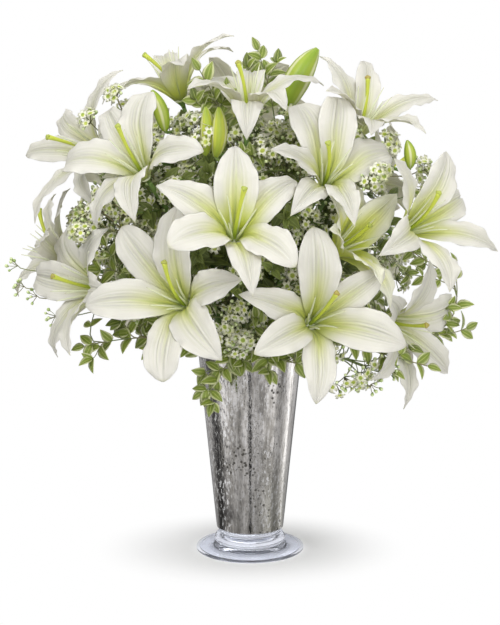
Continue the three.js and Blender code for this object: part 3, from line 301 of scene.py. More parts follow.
def petalFinish():
    # White to ivory, with a yellow-green throat, fine veins along the petal and a green rib on its back.
    # Extra has the bloom's green too. A bloom whose green is over 1 is painted paler all over: painted light
    # that makes up for the shade it stands in.
    f = Finish("lilyPetal")
    spot, (across, along, tone) = f.spots("spot")
    face, green, _ = f.spots("extra")[1]
    veins = f.noise(f.stretched(spot, (11.0, 0.8, 37.0)), 2.2, 3.0, 0.6)
    cloud = f.noise(f.stretched(spot, (1.3, 3.0, 19.0)), 1.6)
    wrinkles = f.noise(f.stretched(spot, (30.0, 1.6, 11.0)), 2.0)
    papillae = f.noise(f.objectPlace(), 900.0) * f.step(along, 0.6, 0.15)
    aside = abs(across)
    rows = (across * 30.0 + veins * 5.0).maths("SINE") * 0.5 + 0.5
    rows = rows * f.step(aside, 0.80, 0.25) * f.step(along, 0.04, 0.2) * f.step(along, 0.97, 0.7)
    rib = f.step(aside, 0.11, 0.0)
    paintedBright = f.step(green, 1.0, 1.25)
    throat = f.step(along - green * 0.24, 0.24, -0.14) * (0.65 + green * 0.4)
    tongue = f.step(along - green * 0.22, 0.54, 0.02) * f.step(aside, 0.80, 0.0) * (0.40 + green * 0.5)
    # Painted shade: darker stripes along the grooves of the pleats. The same mask sinks them in the bump.
    shadedPleats = f.step(abs(aside - 0.13), 0.05, 0.0) + f.step(abs(aside - 0.29), 0.055, 0.0) * 0.8
    shadedPleats = shadedPleats + f.step(abs(aside - 0.46 + veins * 0.06), 0.05, 0.0) * 0.5
    shadedPleats = shadedPleats * f.step(along, 0.10, 0.30) * f.step(along, 0.97, 0.6) * (0.35 + tone * 0.75)
    furrow = f.step(aside, 0.12, 0.02) * f.step(along, 0.44, 0.12)
    white = f.blend(cloud, (0.82, 0.805, 0.775), (0.75, 0.735, 0.705))
    # Painted light: paler whites on blooms whose green is over 1.
    white = f.blend(paintedBright, white, (0.96, 0.96, 0.84))
    shaded = f.blend(f.step(veins, 0.45, 0.75) * 0.30, white, (0.64, 0.63, 0.54))
    shaded = f.blend(rows * 0.34, shaded, (0.58, 0.60, 0.42))
    # Painted shade in the grooves of the pleats.
    shaded = f.blend(shadedPleats * 0.62, shaded, (0.47, 0.465, 0.43))
    # Painted highlight: the rims lighter, where light catches the edges.
    shaded = f.blend(f.step(aside, 0.86, 1.0) * 0.6, shaded, (0.91, 0.905, 0.89))
    lit = f.blend(tongue, shaded, (0.76, 0.80, 0.17))
    # Painted light: a brighter tongue on those blooms too.
    lit = f.blend(paintedBright * tongue, lit, (0.92, 0.95, 0.22))
    deep = f.blend(throat.maths("MINIMUM", 1.0), lit, (0.64, 0.72, 0.06))
    # The green nectary furrow: partly real colour, partly painted shade between the petals' roots.
    deep = f.blend(furrow * 0.8, deep, (0.13, 0.21, 0.012))
    # Painted shade: the petal's root darkened to deep green in the bloom's centre.
    deep = f.blend(f.step(along, 0.10, 0.0) * 0.7, deep, (0.16, 0.24, 0.01))
    front = f.blend(rib * f.step(along, 0.9, 0.2) * (0.3 + green * 0.4), deep, (0.56, 0.62, 0.22))
    behind = f.blend(f.step(aside, 0.45, 0.0) * f.step(along, 1.0, 0.1) * 0.5, front, (0.50, 0.60, 0.20))
    ribbed = f.blend(f.step(face, 0.1, -0.3) * (0.15 + rib * 0.75), front, behind)
    colour = f.blend(f.step(along, 0.95, 1.0) * 0.45, ribbed, (0.64, 0.65, 0.38))
    height = veins * 0.8 + rows * 0.45 - shadedPleats * 0.7 + wrinkles * 0.4 + papillae * 0.25
    return f.surface(colour, 0.40 + cloud * 0.2, f.bump(height, 0.65, 0.0014), ((0.94, 0.92, 0.76), 0.32),
                     {"Specular IOR Level": 0.35})


def threadFinish():
    # Pale green at the root, near white towards the end, and brown at the tip.
    f = Finish("filament")
    along = f.spots("spot")[1][1]
    grain = f.noise(f.objectPlace(), 700.0)
    colour = f.blend(f.step(along, 0.0, 0.4), (0.56, 0.66, 0.20), (0.84, 0.85, 0.66))
    colour = f.blend(f.step(along, 0.93, 1.0) * 0.6, colour, (0.42, 0.34, 0.16))
    colour = f.blend(grain * 0.25, colour, (0.6, 0.68, 0.4))
    return f.surface(colour, 0.45, f.bump(grain, 0.3, 0.0004), ((0.8, 0.88, 0.6), 0.15))


def styleFinish():
    # Bright green, paler towards the stigma.
    f = Finish("style")
    along = f.spots("spot")[1][1]
    grain = f.noise(f.tall(f.objectPlace(), 0.4), 420.0, 3.0)
    colour = f.blend(f.step(along, 0.0, 0.7), (0.36, 0.50, 0.03), (0.62, 0.68, 0.07))
    colour = f.blend(grain * 0.4, colour, (0.52, 0.60, 0.12))
    return f.surface(colour, 0.38, f.bump(grain, 0.35, 0.0005), ((0.6, 0.75, 0.3), 0.1))


def stigmaFinish():
    # Sticky yellow-green to brown, after the tone of the piece, with a rough top.
    f = Finish("stigma")
    tone = f.spots("spot")[1][2]
    pores = f.cells(f.objectPlace(), 900.0)
    colour = f.blend(f.step(tone, 0.50, 0.85), (0.34, 0.42, 0.04), (0.34, 0.17, 0.04))
    return f.surface(f.blend(pores, colour, (0.42, 0.46, 0.10)), 0.3, f.bump(pores, 0.6, 0.0006))


def stemFinish():
    # Fresh green, with lighter streaks along it and small pale marks.
    f = Finish("stem")
    place = f.objectPlace()
    streaks = f.noise(f.tall(place, 0.09), 330.0, 3.0, 0.6)
    cloud = f.noise(place, 28.0)
    marks = f.step(f.noise(place, 620.0, 1.0), 0.66, 0.74)
    colour = f.blend(streaks, (0.075, 0.16, 0.025), (0.20, 0.32, 0.07))
    colour = f.blend(f.step(cloud, 0.4, 0.75) * 0.6, colour, (0.30, 0.40, 0.12))
    colour = f.blend(marks * 0.35, colour, (0.45, 0.5, 0.28))
    return f.surface(colour, 0.38 + cloud * 0.2, f.bump(streaks, 0.4, 0.0007))


def budFinish():
    # Green ribs, pale seams between them, and greener ends. A higher tone is a yellower bud.
    f = Finish("bud")
    lobe, along, tone = f.spots("spot")[1]
    streaks = f.noise(f.tall(f.objectPlace(), 0.08), 420.0, 3.0, 0.6)
    ends = f.step(along, 0.35, 0.0) + f.step(along, 0.72, 1.0)
    colour = f.blend(tone, (0.20, 0.33, 0.02), (0.62, 0.66, 0.08))
    colour = f.blend(streaks * 0.5, colour, (0.52, 0.60, 0.10))
    colour = f.blend(f.step(lobe, 0.1, 0.95) * (0.85 - tone * 0.4), colour, (0.22, 0.34, 0.015))
    colour = f.blend(f.step(lobe, -0.6, -1.0) * 0.85, colour, (0.80, 0.80, 0.48))
    colour = f.blend(ends * 0.45, colour, (0.20, 0.33, 0.03))
    return f.surface(colour, 0.38, f.bump(streaks, 0.5, 0.0008), ((0.6, 0.75, 0.25), 0.08))


def leafFinish(name, dark, light, rim, vein):
    # Two greens in fine parallel veins, a pale midrib, a light rim and a paler back. The tone mixes the
    # greens and sets the rim's strength; for leaves set in pairs it holds painted shade, darker deeper in the
    # bouquet.
    f = Finish(name)
    spot, (across, _, tone) = f.spots("spot")
    face = f.spots("extra")[1][0]
    cloud = f.noise(f.objectPlace(), 55.0)
    veins = f.noise(f.stretched(spot, (13.0, 1.2, 23.0)), 2.0, 2.0, 0.6)
    aside = abs(across)
    # Painted shade for leaves in pairs: a low tone deep in the bouquet gives darker green and a fainter rim.
    colour = f.blend((cloud * 0.5 + tone * 0.5).maths("MINIMUM", 1.0), dark, light)
    colour = f.blend(f.step(veins, 0.5, 0.8) * 0.4, colour, vein)
    colour = f.blend(f.step(aside, 0.12, 0.02) * 0.75, colour, vein)
    colour = f.blend(f.step(aside + veins * 0.35, 0.62, 0.98) * (0.2 + tone * 0.8), colour, rim)
    colour = f.blend(f.step(face, 0.1, -0.3) * 0.35, colour, (0.33, 0.42, 0.18))
    height = veins + f.step(aside, 0.0, 0.1) * 0.5
    return f.surface(colour, 0.34 + cloud * 0.2, f.bump(height, 0.5, 0.0006), ((0.35, 0.55, 0.12), 0.12))


def twigFinish():
    # Green-brown bark with fine lengthwise cracks.
    f = Finish("twig")
    place = f.objectPlace()
    grain = f.noise(f.tall(place, 0.2), 520.0, 3.0, 0.65)
    colour = f.blend(f.step(f.noise(place, 35.0), 0.35, 0.65), (0.13, 0.19, 0.05), (0.20, 0.15, 0.08))
    return f.surface(f.blend(grain * 0.6, colour, (0.30, 0.34, 0.15)), 0.6, f.bump(grain, 0.5, 0.0005))


def waxFinish():
    # White lobes with a green heart. Spot is the share of the radius, the height and the tone.
    f = Finish("waxFlower")
    radius, height, tone = f.spots("spot")[1]
    cloud = f.noise(f.objectPlace(), 260.0)
    petal = f.blend(tone, (0.91, 0.90, 0.76), (0.78, 0.80, 0.46))
    petal = f.blend(cloud * 0.3, petal, (0.84, 0.85, 0.66))
    heart = f.blend(f.step(cloud, 0.4, 0.6), (0.30, 0.42, 0.03), (0.56, 0.62, 0.07))
    colour = f.blend(f.step(radius, 0.46, 0.30), petal, heart)
    colour = f.blend(f.step(height, -0.5, -1.5) * 0.7, colour, (0.40, 0.50, 0.16))
    return f.surface(colour, 0.42 + cloud * 0.15, f.bump(cloud, 0.4, 0.0005), ((0.92, 0.93, 0.80), 0.22))


def waxBudFinish():
    # Round buds, green below and white-green at the top.
    f = Finish("waxBud")
    along = f.spots("spot")[1][1]
    cloud = f.noise(f.objectPlace(), 300.0)
    colour = f.blend(f.step(along, 0.25, 0.8), (0.24, 0.36, 0.08), (0.66, 0.74, 0.42))
    return f.surface(f.blend(cloud * 0.4, colour, (0.55, 0.64, 0.3)), 0.4, f.bump(cloud, 0.4, 0.0004))


def silverFinish():
    # Silvered glass: upright streaks, clouds where the silver is thin, small dark pits in clusters, and
    # near-white specks that are painted glints. On one side, where the tent's dark band reflects, the crackle
    # is
    # painted darker and the glints thicker: a painted mottle of that reflection. Low down it is darker, with
    # olive on one side and a dark patch on the other.
    f = Finish("silveredGlass")
    place = f.objectPlace()
    x, _, z = f.parts(place)
    upright = f.tall(place, 0.12)
    streaks = f.noise(upright, 75.0, 4.0, 0.6)
    fine = f.noise(upright, 400.0, 3.0, 0.65)
    clouds = f.noise(f.tall(place, 0.35), 30.0, 5.0, 0.65)
    crackle = f.noise(f.tall(place, 0.42), 400.0, 3.0, 0.65)
    clusters = f.step(f.noise(f.tall(place, 0.6), 30.0, 3.0), 0.54, 0.62)
    for spot, wide in (((0.024, -0.047, 0.179), 0.017), ((0.0145, -0.043, 0.116), 0.012)):
        gap = f.vectors("DISTANCE", place, spot, out=1)
        clusters = clusters + f.step(gap + crackle * 0.01, wide + 0.004, wide * 0.5)
    pits = f.step(f.cells(place, 225.0), 0.38, 0.26) * clusters.maths("MINIMUM", 1.0)
    dust = f.step(f.cells(f.tall(place, 0.6), 560.0), 0.34, 0.16)
    specks = dust * f.step(clouds, 0.46, 0.60)
    worn = f.step(clouds, 0.52, 0.70)
    # Beside: the side where the tent's dark band reflects. Crackle is painted darker there, glints thicker.
    beside = f.step(x, -0.014, -0.030)
    dark = (pits + specks * 0.65 + worn * 0.30).maths("MINIMUM", 1.0)
    silver = f.blend(f.step(streaks, 0.34, 0.64), (0.38, 0.36, 0.325), (0.95, 0.92, 0.88))
    silver = f.blend(f.step(fine, 0.5, 0.68) * 0.4, silver, (0.97, 0.96, 0.94))
    silver = f.blend(f.step(fine, 0.48, 0.32) * 0.5, silver, (0.20, 0.19, 0.16))
    # Dark crackle, real patina, painted darker still beside: a painted mottle of the dark reflection.
    silver = f.blend(f.step(crackle, 0.47, 0.36) * (0.42 + beside * 0.4), silver, (0.16, 0.16, 0.17))
    silver = f.blend(f.step(z, 0.13, 0.03) * f.step(x, -0.004, 0.022) * 0.45, silver, (0.36, 0.36, 0.25))
    silver = f.blend(f.step(z, 0.17, 0.03) * 0.18, silver, (0.30, 0.285, 0.25))
    colour = f.blend(dark * 0.95, silver, (0.06, 0.055, 0.045))
    # Painted glints: near-white, less metallic specks in the clouds, thickest beside.
    paintedGlints = f.step(crackle, 0.54, 0.63) * (f.step(clouds, 0.38, 0.56) * 0.65 + beside * 0.35)
    colour = f.blend(paintedGlints, colour, (0.96, 0.96, 0.97))
    patch = f.vectors("DISTANCE", place, (-0.022, -0.03, 0.046), out=1)
    colour = f.blend(f.step(patch + crackle * 0.012, 0.021, 0.008) * 0.75, colour, (0.07, 0.065, 0.06))
    height = streaks * 0.5 + clouds * 0.8 - dark * 0.3 + crackle * (0.16 + beside * 0.3)
    return f.surface(colour, 0.03 + worn * 0.13 + fine * 0.06, f.bump(height, 0.15, 0.004), None,
                     {"Metallic": 1.0 - dark * 0.35 - paintedGlints * beside * 0.7, "Coat Weight": 0.5,
                      "Coat Roughness": 0.02})


def glassFinish():
    # Clear glass with a faint cool tint, slow waves and a few seeds. Its knop's grooves are painted dark:
    # painted shade for the dark lines the glass shows there.
    f = Finish("clearGlass")
    place = f.objectPlace()
    z = f.parts(place)[2]
    waves = f.noise(place, 34.0)
    seeds = f.step(f.cells(place, 240.0), 0.10, 0.04)
    colour = f.blend(waves, (0.76, 0.795, 0.90), (0.84, 0.86, 0.93))
    # Painted shade: dark lines along the knop's grooves.
    for groove in (0.0082, 0.0197):
        near = f.step(abs(z - groove), 0.0013, 0.0003)
        colour = f.blend(near * 0.8, colour, (0.16, 0.17, 0.19))
    return f.surface(colour, 0.015, f.bump(waves * 0.5 + seeds * 0.2, 0.10, 0.002), None,
                     {"IOR": 1.5, "Transmission Weight": 0.95})


def waterFinish():
    # Clear water with a slightly green tint and a rippled surface.
    f = Finish("waterBody")
    ripples = f.noise(f.objectPlace(), 60.0)
    colour = f.blend(ripples, (0.80, 0.88, 0.82), (0.90, 0.95, 0.92))
    return f.surface(colour, 0.03, f.bump(ripples, 0.15, 0.002), None,
                     {"IOR": 1.33, "Transmission Weight": 1.0})


petalPaint, threadPaint = petalFinish(), threadFinish()
stylePaint, stigmaPaint = styleFinish(), stigmaFinish()
stemPaint, budPaint, twigPaint = stemFinish(), budFinish(), twigFinish()
lilyLeafPaint = leafFinish("lilyLeaf", (0.050, 0.066, 0.013), (0.19, 0.24, 0.040), (0.29, 0.35, 0.09),
                           (0.24, 0.31, 0.08))
sprigLeafPaint = leafFinish("sprigLeaf", (0.060, 0.086, 0.014), (0.28, 0.37, 0.045), (0.80, 0.82, 0.46),
                            (0.50, 0.57, 0.14))
waxPaint, waxBudPaint = waxFinish(), waxBudFinish()
silverPaint, glassPaint, waterPaint = silverFinish(), glassFinish(), waterFinish()
print("finishes made")

seeds = {"bloom": 41, "stem": 52, "spray": 63, "sprig": 74, "tent": 5}
goldenAngle = 137.5

# Blooms. A petal is turn, opening angle, length and half width, and for some how pointed it is. Front is the
# layer that lies in front: 0 for the first petal's, 1 for the other.
bloomKeys = ["name", "at", "facing", "style", "green", "petals", "front"]
blooms = [dict(zip(bloomKeys, row)) for row in [
    ["01", [-63, -140, 287], [-23, 21], [68, 22, 84], 0.7,
     [[10, 83, 102, 18], [88, 93, 105, 21, 0.9], [133, 103, 104, 19, 0.75], [191, 100, 102, 21, 0.9],
      [277, 100, 100, 21, 0.65], [318, 106, 105, 22, 1.0]], 1],
    ["02", [-15, -165, 354], [5, 37], [70, 9, 60], 0.9,
     [[39, 127, 92, 19, 1.15], [88, 112, 97, 22, 1.25], [154, 108, 96, 20, 1.15], [214, 82, 98, 22, 0.7],
      [277, 107, 101, 15], [309, 91, 96, 20, 0.75]]],
    ["03", [58, -150, 270], [16, 20], [64, 16, 62], 0.8,
     [[31, 125, 100, 16], [91, 100, 101, 22, 0.8], [165, 98, 100, 16], [206, 90, 101, 18, 0.85],
      [259, 102, 101, 17, 0.8], [336, 98, 102, 22, 0.9]]],
    ["04", [-104, -95, 409], [-30, 39], [70, 7, 70], 0.5,
     [[3, 108, 99, 18, 0.8], [97, 112, 94, 21, 0.85], [132, 122, 98, 17], [186, 128, 96, 22, 0.85],
      [250, 150, 88, 13], [297, 115, 102, 17]]],
    ["05", [-152, -5, 426], [-53, 21], [70, 4, 246], 0.35,
     [[13, 115, 98, 14], [72, 125, 105, 14], [151, 135, 98, 15], [193, 96, 100, 15],
      [257, 103, 110, 12], [315, 119, 101, 14]]],
    ["06", [-150, -62, 292], [-55, 11], [60, 6, 90], 0.35,
     [[2, 100, 98, 16], [50, 111, 96, 17], [133, 130, 94, 21], [178, 111, 97, 21],
      [248, 125, 97, 16], [302, 90, 97, 16]]],
    ["07", [-190, 5, 313], [-77, 29], [66, 30, 90], 0.3,
     [[13, 95, 92, 14], [67, 93, 89, 16], [133, 95, 92, 14], [187, 115, 91, 15],
      [236, 115, 87, 14], [333, 162, 75, 12]]],
    ["08", [-73, 10, 485], [-71, 68], [60, 18, 262], 0.85,
     [[50, 99, 98, 14], [106, 126, 98, 13], [165, 104, 98, 15], [236, 126, 99, 14],
      [290, 125, 98, 14], [355, 105, 98, 17]]],
    ["09", [-3, -60, 466], [4, 72], [60, 11, 205], 0.4,
     [[17, 121, 97, 15], [82, 144, 97, 15], [123, 153, 95, 15], [217, 95, 93, 17],
      [266, 155, 100, 16], [293, 114, 96, 15]]],
    ["10", [73, -100, 401], [14, 36], [64, 11, 150], 0.7,
     [[20, 143, 90, 21], [76, 117, 100, 20, 0.8], [104, 131, 99, 22, 0.8], [184, 63, 99, 15],
      [229, 97, 100, 15], [272, 88, 99, 16]]],
    ["11", [111, -30, 449], [33, 57], [64, 11, 134], 0.5,
     [[-4, 95, 98, 14], [64, 100, 98, 14], [106, 91, 95, 14], [190, 74, 96, 14],
      [236, 95, 98, 15], [282, 86, 94, 15]]],
    ["12", [153, -105, 355], [39, 24], [64, 16, 105], 0.9,
     [[20, 146, 99, 17], [55, 105, 98, 18], [137, 68, 101, 17], [202, 111, 103, 17],
      [255, 85, 101, 21], [330, 98, 99, 14]], 1],
    ["13", [83, -105, 335], [45, 28], [52, 6, 60], 1.3,
     [[31, 75, 88, 18, 1.2], [64, 105, 79, 20, 1.2], [142, 62, 84, 13], [179, 64, 89, 12],
      [248, 65, 88, 15], [286, 119, 87, 17]]],
    ["14", [140, -45, 258], [45, -10], [60, 13, 118], 0.4,
     [[15, 131, 96, 20], [96, 88, 96, 20], [145, 95, 100, 15], [209, 92, 101, 14],
      [266, 94, 99, 15], [320, 100, 100, 16]]],
    ["15", [118, 70, 395], [95, 18], [62, 8, 70], 0.45,
     [[20, 98, 96, 19], [85, 108, 96, 15], [136, 98, 96, 19], [200, 110, 96, 15],
      [266, 98, 96, 19], [320, 106, 96, 15]]],
    ["16", [-112, 105, 392], [-140, 20], [62, 8, 90], 0.5,
     [[4, 100, 98, 20], [60, 108, 98, 16], [114, 105, 98, 20], [183, 100, 98, 16],
      [240, 110, 98, 20], [296, 100, 98, 16]]],
    ["17", [8, 150, 350], [178, 25], [64, 10, 60], 0.4,
     [[30, 107, 98, 21], [96, 102, 98, 16], [147, 102, 98, 21], [210, 110, 98, 16],
      [274, 102, 98, 21], [330, 102, 98, 16]]],
    ["18", [-78, 138, 262], [-155, 8], [62, 12, 105], 0.5,
     [[15, 98, 98, 20], [79, 104, 98, 16], [135, 98, 98, 20], [190, 102, 98, 16],
      [255, 98, 98, 20], [318, 98, 98, 16]]],
    ["19", [92, 132, 268], [148, 8], [62, 12, 75], 0.45,
     [[45, 100, 98, 20], [108, 100, 98, 16], [159, 106, 98, 20], [225, 100, 98, 16],
      [290, 100, 98, 20], [345, 105, 98, 16]]],
    ["20", [-12, 92, 455], [172, 48], [62, 8, 100], 0.55,
     [[10, 104, 96, 19], [70, 112, 96, 15], [135, 104, 96, 19], [190, 104, 96, 15],
      [245, 110, 96, 19], [310, 104, 96, 15]]],
]]
byName = {bloom["name"]: bloom for bloom in blooms}

bloomForm = {"rows": 50, "rootFront": 4.8, "rootBack": 6.0, "start": 22, "curl": 15, "channelFront": 0.35,
             "channelBack": 0.12, "layer": 0.8, "wave": 2.5, "waves": 2.2, "thick": 0.40, "groove": 1.1,
             "grooveWide": 1.6, "ridge": 0.55, "furrow": 0.4, "pillow": 0.08, "ruffle": 1.1, "ruffles": 5.3,
             "columns": [0, 0.045, 0.09, 0.14, 0.2, 0.26, 0.33, 0.41, 0.5, 0.6, 0.7, 0.8, 0.88, 0.95, 1.0],
             "seat": [[-2.2, 5.3], [-1.0, 6.2], [0.4, 6.3], [1.2, 5.2], [1.0, 3.2]], "seatSides": 18,
             "swing": 0.55, "curlFrom": 0.55, "curlPower": 1.6, "tip": 0.997, "nextWave": 37,
             "threadLean": 15, "threadOut": 4.0, "threadLow": 0.6, "threadLong": 54, "threadBow": 2.2,
             "threadStray": 1.5, "threadRings": 14, "threadSides": 7,
             "threadRadius": [[0, 1.5], [0.4, 1.15], [0.8, 0.7], [0.95, 0.5], [1, 0.25]]}


def bloomAxes(facing):
    # The axis points where the bloom faces. Across is level, and up is square to both.
    a, e = np.radians(facing)
    axis = np.array([math.sin(a) * math.cos(e), -math.cos(a) * math.cos(e), math.sin(e)])
    across = np.array([math.cos(a), math.sin(a), 0])
    return {"axis": axis, "across": across, "up": np.cross(axis, across)}


def spoke(axes, turn):
    # A direction square to the axis, at a turn from across towards up.
    a = np.radians(np.asarray(turn, float))[..., None]
    return axes["across"] * np.cos(a) + axes["up"] * np.sin(a)


def twoFaces(top):
    # The shares across the front and then the back, and the face: 1 in front, -1 behind, 0 at a rim.
    s = np.concatenate([top, top[-2:0:-1]])
    return s, np.concatenate([np.ones(len(top)), -np.ones(len(top) - 2)]) * np.sqrt(1 - s ** 4)


def petalWidth(t, wide, sharp):
    # (t + 0.06) to a power times (1 - t) to a power, over its own greatest value.
    grow, end = (1.15, sharp * 1.05) if wide < 18 else (1.3, sharp)
    peak = (grow - end * 0.06) / (grow + end)
    return (t + 0.06) ** grow * (1 - t) ** end / ((peak + 0.06) ** grow * (1 - peak) ** end)


def walked(slope, long):
    # The running sum of a slope over even steps of a length.
    return np.concatenate([[0], np.cumsum((slope[1:] + slope[:-1]) / 2)]) * long / (len(slope) - 1)


def petalSkin(bloom, axes, k, mean, front, seed):
    # The midline opens from the bloom's axis and curls at its tip. Across it the petal is channelled near
    # the root, swells between rib and rim, and waves at the rim. Two faces meet at the rim.
    p = bloomForm
    turn, opening, long, wide, *sharp = bloom["petals"][k]
    sharp = sharp[0] if sharp else 0.95 + 0.15 * seed[2]
    layer = 1 if k % 2 == front else -1
    base = mean + 60 * k
    t = np.linspace(0, p["tip"], p["rows"])[:, None]
    fine = np.linspace(0, 1, 401)
    curl = np.maximum(0, (fine - p["curlFrom"]) / 0.45) ** p["curlPower"]
    angle = np.radians(p["start"] + (opening - p["start"]) * fine ** 1.1 + p["curl"] * curl)
    away = (p["rootFront"] if layer > 0 else p["rootBack"]) + np.interp(t, fine, walked(np.sin(angle), long))
    rise = np.interp(t, fine, walked(np.cos(angle), long))
    angle = np.interp(t, fine, angle)
    swing = np.minimum(1, t / p["swing"])
    here = (base + (turn - base) * swing * swing * (3 - 2 * swing))[:, 0]
    out, side = spoke(axes, here)[:, None], spoke(axes, here + 90)[:, None]
    inward = -np.cos(angle)[..., None] * out + np.sin(angle)[..., None] * axes["axis"]
    s, face = twoFaces(np.concatenate([p["columns"][::-1], -np.array(p["columns"][1:])]))
    aside = np.abs(s)
    half = np.maximum(wide * petalWidth(t, wide, sharp), 2.0 * np.maximum(0, 1 - 4 * t))
    channel = p["channelFront"] if layer > 0 else p["channelBack"]
    channel = channel * (1 - 0.75 * t) * np.minimum(1, t * 8)
    ripple = np.sin(2 * math.pi * p["waves"] * t + math.radians(p["nextWave"] * k) + np.where(s > 0, 1.3, 0))
    wave = p["wave"] * ripple * np.clip((t - 0.25) * 3, 0, 1) * np.clip((1 - t) * 4, 0, 1)
    ruffles = 2 * math.pi * (p["ruffles"] + seed[0]) * t + 6 * seed[1] + np.where(s > 0, 2.1, 0)
    frill = p["ruffle"] * np.sin(ruffles) * ease(t, 0.2, 0.5) * (1 - ease(t, 0.86, 0.98))
    ends = ease(t, 0.02, 0.15) * (1 - ease(t, 0.8, 0.99))
    groove = np.exp(-(s * half / p["grooveWide"]) ** 2) * ends
    ridges = p["ridge"] * np.exp(-((aside - 0.2) / 0.075) ** 2)
    ridges = ridges - p["furrow"] * np.exp(-((aside - 0.37) / 0.07) ** 2)
    pillow = p["pillow"] * half * 4 * aside * (1 - aside) * ease(t, 0.08, 0.35)
    lift = channel * half * aside ** 1.6 + wave * aside ** 2.5 + frill * aside ** 4 + pillow
    lift = lift + layer * p["layer"] * np.minimum(1, t * 6) - p["groove"] * groove + ridges * ends
    lift = lift + p["thick"] * face - np.where(face < 0, 0.35, 0) * groove
    middle = np.array(bloom["at"]) + out * away[..., None] + axes["axis"] * rise[..., None]
    rings = middle + side * (s * half * (1 - 0.12 * channel))[..., None] + inward * lift[..., None]
    return skin(rings, stacked(s, t, seed[2]), petalPaint, stacked(face, bloom["green"], 0))


def bloomPiece(bloom, number):
    # Six petals round a green seat, and a filament between each two, leaning out from the axis.
    p = bloomForm
    axes = bloomAxes(bloom["facing"])
    axis = axes["axis"]
    rng = np.random.default_rng([seeds["bloom"], number])
    turns, opens = (np.array([petal[i] for petal in bloom["petals"]], float) for i in (0, 1))
    mean = float(np.mean(turns - 60 * np.arange(6)))
    front = bloom.get("front", 0 if opens[::2].sum() < opens[1::2].sum() else 1)
    skins = [petalSkin(bloom, axes, k, mean, front, rng.random(3)) for k in range(6)]
    centre = np.array(bloom["at"], float)
    seat = np.array(p["seat"])
    skins.append(tube(centre + seat[:, :1] * axis, seat[:, 1], p["seatSides"], threadPaint))
    lean = math.radians(p["threadLean"])
    shares = np.linspace(0, 1, p["threadRings"])
    radius = looked(p["threadRadius"], shares)
    for k in range(6):
        away = spoke(axes, mean + 60 * k + 30)
        foot = centre + away * p["threadOut"]
        root = foot + axis * p["threadLow"]
        tip = foot + p["threadLong"] * (math.cos(lean) * axis + math.sin(lean) * away)
        bent = (root + tip) / 2 - away * p["threadBow"] + spoke(axes, rng.random() * 360) * p["threadStray"]
        curve = bezier([root, bent, tip], shares)
        skins.append(tube(curve, radius, p["threadSides"], threadPaint, rng.random()))
    meshPiece(f"bloom{bloom['name']}", skins, f"lily_bloom_{bloom['name']}")


for number, bloom in enumerate(blooms):
    bloomPiece(bloom, number)
print("blooms:", len(blooms))


# Stems. A side stalk joins at a share of the curve and has two middle points. A leaf is share, turn, length
# and half width.
stems = [
    {"name": "a", "mouth": 172, "top": "08", "via": [[-41, 3, 307], [-49, 8, 405]],
     "sides": [["05", 0.71, [-64, 10, 428], [-128, 19, 410]], ["07", 0.34, [-52, 3, 321], [-134, 15, 287]]],
     "buds": [{"from": 0.9, "via": [[-62, 7, 462], [-85, -48, 447]], "base": [-86, -52, 453],
               "tip": [-99, -56, 494], "wide": 7.5, "tone": 0.4}],
     "leaves": [[0.22, 200, 62, 8], [0.5, 40, 58, 7]]},
    {"name": "b", "mouth": 214, "top": "04", "via": [[-32, -23, 283], [-72, -62, 354]],
     "sides": [["06", 0.52, [-65, -44, 332], [-129, -52, 289]]], "buds": [],
     "leaves": [[0.25, 250, 60, 8], [0.4, 100, 56, 7]]},
    {"name": "c", "mouth": 262, "top": "09", "via": [[-3, -42, 314], [-5, -50, 397]],
     "sides": [["02", 0.43, [3, -51, 355], [-20, -106, 332]], ["01", 0.3, [0, -44, 304], [-50, -109, 281]]],
     "buds": [{"from": 0.89, "via": [[-4, -58, 442], [-43, -74, 420]], "base": [-45, -78, 429],
               "tip": [-44, -82, 477], "wide": 7.8, "tone": 0.85},
              {"from": 0.82, "via": [[-5, -54, 434], [-31, -88, 417]], "base": [-34, -88, 428],
               "tip": [-31, -92, 477], "wide": 7.8, "tone": 0.95}],
     "leaves": [[0.2, 20, 58, 8], [0.6, 180, 56, 7]]},
    {"name": "d", "mouth": 302, "top": "10", "via": [[23, -33, 296], [49, -56, 359]],
     "sides": [["13", 0.75, [61, -74, 371], [63, -82, 320]], ["03", 0.3, [35, -47, 291], [44, -116, 258]]],
     "buds": [{"from": 0.88, "via": [[66, -91, 393], [33, -9, 459]], "base": [37, -12, 476],
               "tip": [70, -14, 537], "wide": 13.5, "tone": 0.25}],
     "leaves": [[0.22, 334, 60, 8]]},
    {"name": "e", "mouth": 344, "top": "11", "via": [[43, -9, 327], [89, -9, 402]],
     "sides": [["12", 0.61, [80, -21, 394], [134, -90, 352]], ["14", 0.16, [56, -8, 277], [113, -32, 253]]],
     "buds": [{"from": 0.91, "via": [[108, -23, 439], [159, -59, 402]], "base": [162, -62, 416],
               "tip": [158, -66, 444], "wide": 6.0, "tone": 0.5}],
     "leaves": [[0.35, 54, 60, 8], [0.5, 300, 56, 7]]},
    {"name": "f", "mouth": 133, "top": "16", "via": [[-29, 28, 297], [-64, 52, 356]],
     "sides": [["18", 0.28, [-39, 33, 284], [-63, 91, 259]]], "buds": [],
     "leaves": [[0.4, 100, 60, 8], [0.55, 260, 56, 7]]},
    {"name": "g", "mouth": 92, "top": "20", "via": [[-4, 43, 325], [-14, 54, 397]],
     "sides": [["17", 0.51, [-8, 62, 370], [11, 113, 341]]], "buds": [],
     "leaves": [[0.3, 180, 60, 8], [0.62, 20, 56, 7]]},
    {"name": "h", "mouth": 50, "top": "15", "via": [[25, 33, 304], [60, 56, 362]],
     "sides": [["19", 0.27, [31, 35, 289], [43, 64, 258]]], "buds": [],
     "leaves": [[0.35, 26, 60, 8], [0.5, 200, 56, 7]]},
]

